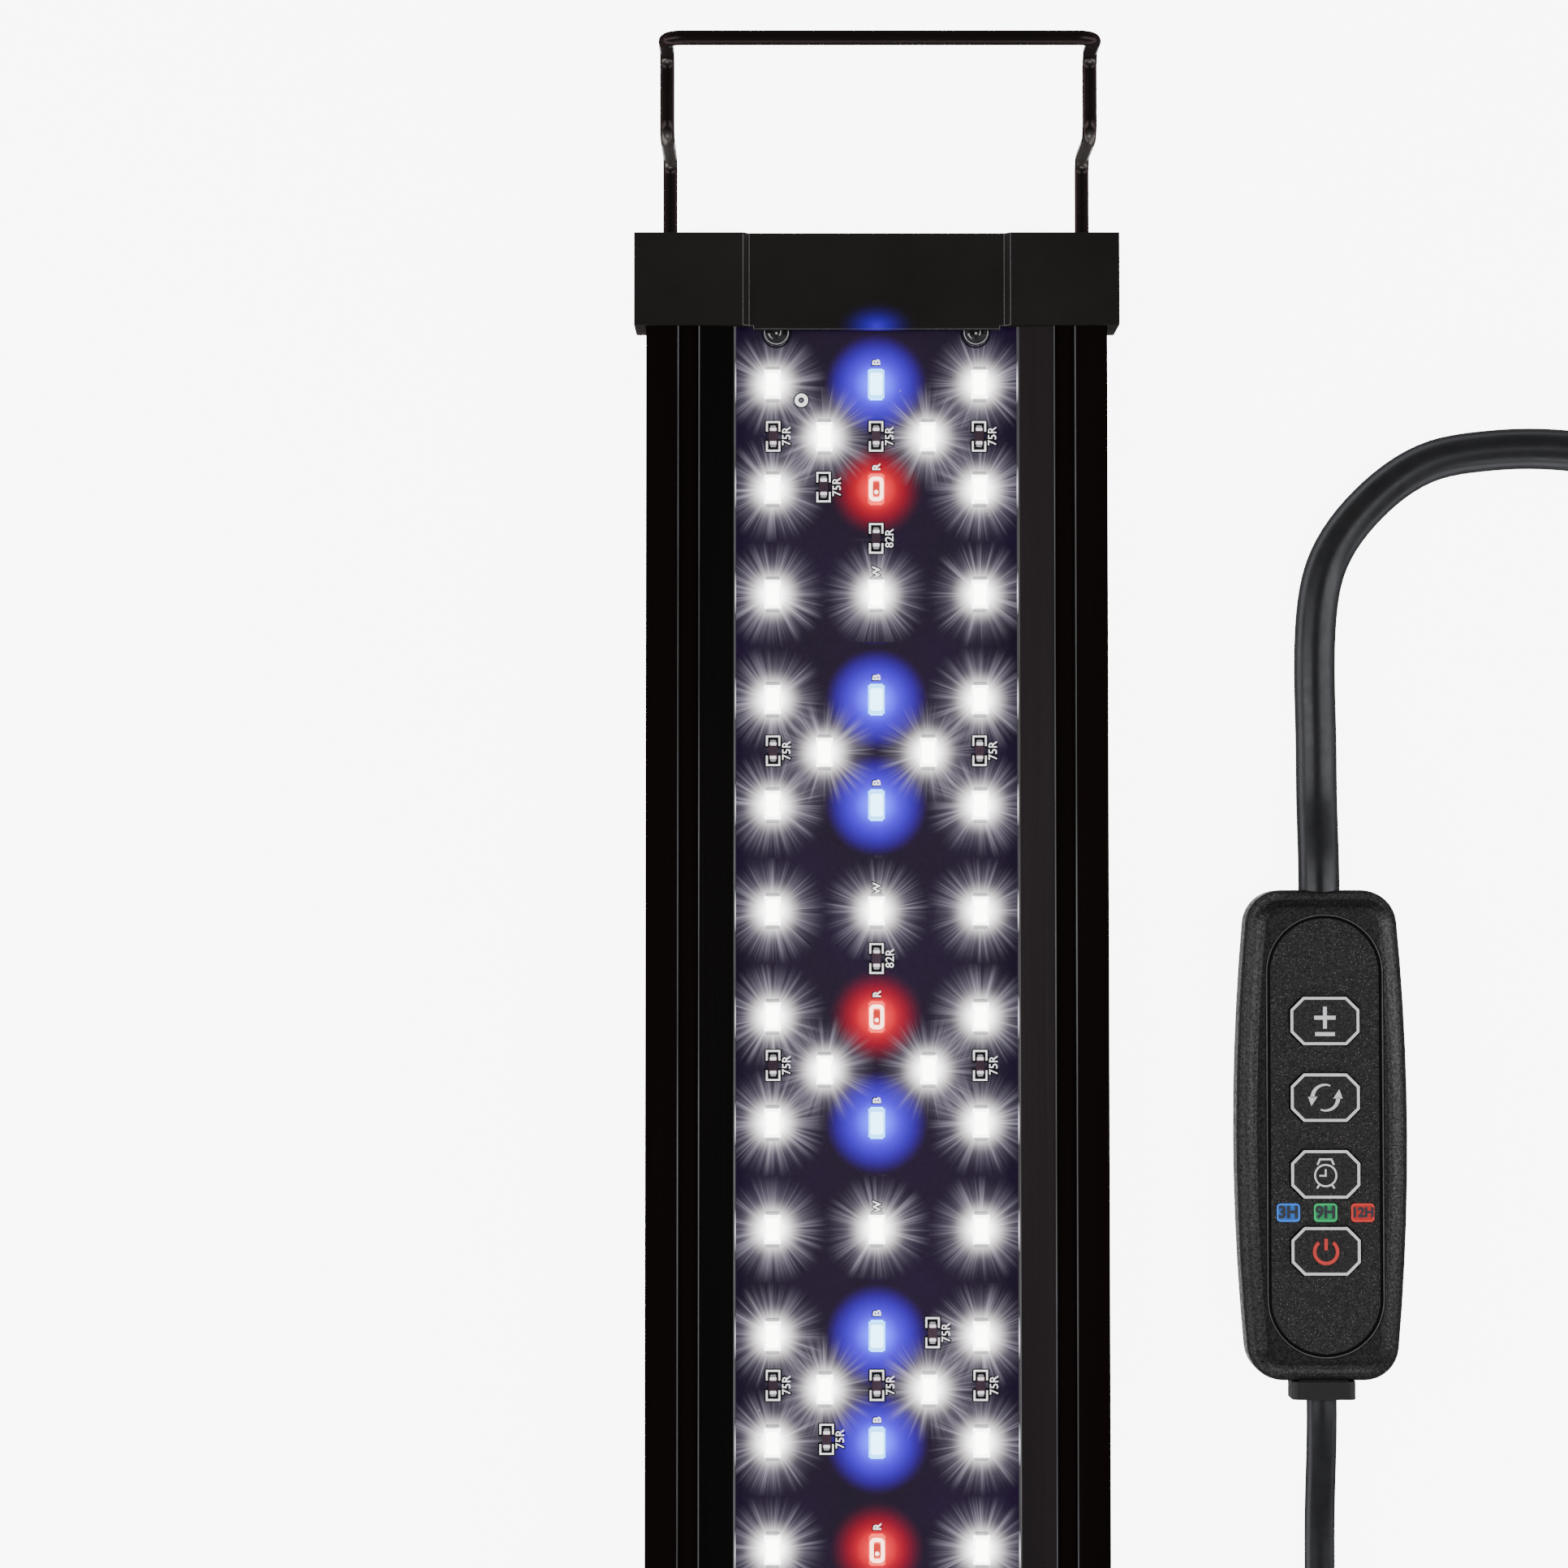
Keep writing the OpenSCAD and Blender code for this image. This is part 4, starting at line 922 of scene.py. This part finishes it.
def make_screw_details():
    """Painted shade as a dark ring round each screw of the board, and a painted bright edge and
    glints on its head.
    """
    shade_rings = Marks(BOARD_TOP + 0.01 * MM)
    head_glints = Marks(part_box("board_screws")[1].z)
    for low, high in solids("board_screws"):
        x, y = centre(low, high)
        edge = (high.x - low.x) / 2
        # Painted shade: a dark ring round the head.
        shade_rings.arc(x, y, edge + 0.3 * MM, 0, 360, (0.3 * MM, 0.3 * MM), 32)
        # Painted highlights: a bright edge, two glints and a dot on the head.
        head_glints.arc(x, y, edge - 0.1 * MM, 0, 360, (0.16 * MM, 0.16 * MM), 32)
        head_glints.arc(x, y, 0.8 * MM, -45, 45, (0.25 * MM, 0.1 * MM), 8)
        head_glints.arc(x, y, 1.4 * MM, 190, 240, (0.35 * MM, 0.1 * MM), 8)
        head_glints.arc(x, y - 0.2 * MM, 0.12 * MM, 0, 360, (0.24 * MM, 0.24 * MM), 12)
    shade_rings.piece("screw_shade_rings", "root", "painted_dark_halo", "screw_steel")
    head_glints.piece("screw_head_glints", "root", "solder", "screw_dark")


def cut_corners(width, length, cut):
    """Eight-sided outline round the origin."""
    w, h = width / 2, length / 2
    return [(w, cut - h), (w, h - cut), (w - cut, h), (cut - w, h), (-w, h - cut),
            (-w, cut - h), (cut - w, -h), (w - cut, -h)]


def key_icon(marks, kind, x, y):
    """The sign on a key, in millimetres round its middle."""
    def at(*points):
        return [(x + px * MM, y + py * MM) for px, py in points]

    if kind == "brightness_key":
        marks.strip(at((-1.95, 0.6), (1.95, 0.6)), 0.7 * MM)
        marks.strip(at((0, -1.4), (0, 0.25)), 0.7 * MM)
        marks.strip(at((0, 0.95), (0, 2.6)), 0.7 * MM)
        marks.strip(at((-1.8, -2.4), (1.8, -2.4)), 0.7 * MM)
    elif kind == "mode_key":
        for s, tail in ((1, 68), (-1, 248)):
            marks.arc(x, y, 2.35 * MM, tail, tail + 112, (0.25 * MM, 0.75 * MM), 14)
            marks.fill(at((-3.15 * s, 0.15 * s), (-2.55 * s, -1.5 * s), (-1.45 * s, 0.15 * s)))
    elif kind == "timer_key":
        marks.arc(x, y - 0.2 * MM, 1.95 * MM, 0, 360, (0.32 * MM, 0.32 * MM), 32)
        marks.strip(at((0, 0.95), (0, -0.25), (-1.15, -0.25)), 0.3 * MM)
        marks.strip(at((-1.5, 1.75), (-1.05, 2.75), (1.05, 2.75), (1.5, 1.75)), 0.34 * MM)
        for s in (1, -1):
            marks.strip(at((1.2 * s, -1.95), (1.6 * s, -2.55)), 0.32 * MM)
    else:
        marks.arc(x, y - 0.1 * MM, 2.1 * MM, 128, 412, (0.62 * MM, 0.62 * MM), 32)
        marks.strip(at((0, 0.2), (0, 2.3)), 0.62 * MM)


def hull(points):
    """Convex outline round flat points, anticlockwise."""
    points = sorted(set(points))
    outline = []
    for run in (points, points[::-1]):
        half = []
        for p in run:
            while len(half) > 1 and (
                (half[-1][0] - half[-2][0]) * (p[1] - half[-2][1])
                <= (half[-1][1] - half[-2][1]) * (p[0] - half[-2][0])
            ):
                half.pop()
            half.append(p)
        outline += half[:-1]
    return outline


def make_panel_rim():
    """Painted shade as a dark strip over the gap round the sunk panel, and a thin raised bead."""
    corners = NODES["key_panel"].data.vertices
    outline = hull([(round(v.co.x, 6), round(v.co.y, 6)) for v in corners])
    # Painted shade: a near-black strip over the gap round the panel.
    groove = Marks(PANEL_TOP + 0.005 * MM)
    groove.strip(outline, 1.3 * MM, closed=True)
    groove.piece("panel_groove_shade", "root", "groove", "case_plastic")
    bead = Marks(PANEL_TOP)
    bead.strip(outline, 0.22 * MM, closed=True)
    bead.piece("panel_bead", "root", "rim", "case_plastic", thickness=0.12 * MM)


# Each key is a body of its own, with the same name
KEYS = ("brightness_key", "mode_key", "timer_key", "power_key")
KEY_OUTLINE = (12.1 * MM, 8.3 * MM)


def make_controller_marks():
    """Outlines and signs on the keys, and numbers on the timer windows."""
    for key in KEYS:
        low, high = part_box(key)
        x, y = centre(low, high)
        outline = Marks(high.z + 0.005 * MM)
        outline.strip(moved(cut_corners(*KEY_OUTLINE, 2.2 * MM), x, y), 0.5 * MM, closed=True)
        if key != "power_key":
            key_icon(outline, key, x, y)
        outline.piece(key + "_outline", key, "key_ink", "led_white")
        if key == "power_key":
            sign = Marks(high.z + 0.005 * MM)
            key_icon(sign, key, x, y)
            sign.piece("power_key_sign", key, "red_ink", "led_red")
    numbers = Marks(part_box("timer_windows")[1].z + 0.005 * MM)
    windows = sorted(solids("timer_windows"), key=lambda pair: pair[0].x)
    for word, size, box in zip(("3H", "9H", "12H"), (3.0 * MM, 3.0 * MM, 2.4 * MM), windows):
        numbers.text(word, *centre(*box), size, weight=0.05)
    numbers.piece("timer_numbers", "root", "dark_ink", "panel_film")


make_board_marks()
make_led_details()
make_screw_details()
make_controller_marks()
make_panel_rim()


# ---- Floor and light ----

FLOOR_HALF = 9
FLOOR_GLOW = 7.5
WORLD_GLOW = 0.12


def make_floor():
    """A pale light table, which keeps the ground bright with soft shadows."""
    mesh = bpy.data.meshes.new("floor")
    corners = [(x * FLOOR_HALF, y * FLOOR_HALF, 0) for x, y in ((-1, -1), (1, -1), (1, 1), (-1, 1))]
    mesh.from_pydata(corners, [], [(0, 1, 2, 3)])
    floor = bpy.data.objects.new("floor", mesh)
    bpy.context.scene.collection.objects.link(floor)
    shader = Shader("floor", (0.9, 0.9, 0.9), 0.9, specular=0.1)
    shader.set("Emission Color", (1, 1, 1, 1))
    shader.set("Emission Strength", FLOOR_GLOW)
    set_material(floor, shader)


def area_light(name, place, aim, size, power):
    data = bpy.data.lights.new(name, "AREA")
    data.shape = "RECTANGLE"
    data.size, data.size_y = size
    data.energy = power
    light = bpy.data.objects.new(name, data)
    light.location = place
    light.rotation_mode = "QUATERNION"
    light.rotation_quaternion = (Vector(aim) - Vector(place)).to_track_quat("-Z", "Y")
    bpy.context.scene.collection.objects.link(light)


def make_light():
    world = bpy.data.worlds.new("world")
    world.use_nodes = True
    sky = world.node_tree.nodes["Background"]
    sky.inputs["Color"].default_value = (1, 1, 1, 1)
    sky.inputs["Strength"].default_value = WORLD_GLOW
    bpy.context.scene.world = world
    area_light("left_box", (-0.7, 0.05, 0.5), (0, 0.05, 0), (0.25, 1.2), 9)
    area_light("right_box", (0.75, 0.05, 0.5), (0.05, 0.05, 0), (0.25, 1.2), 9)
    area_light("front_box", (0, -0.85, 0.42), (0, 0.05, 0), (1.0, 0.2), 6)


make_floor()
make_light()

# ---- Update ----

bpy.context.view_layer.update()
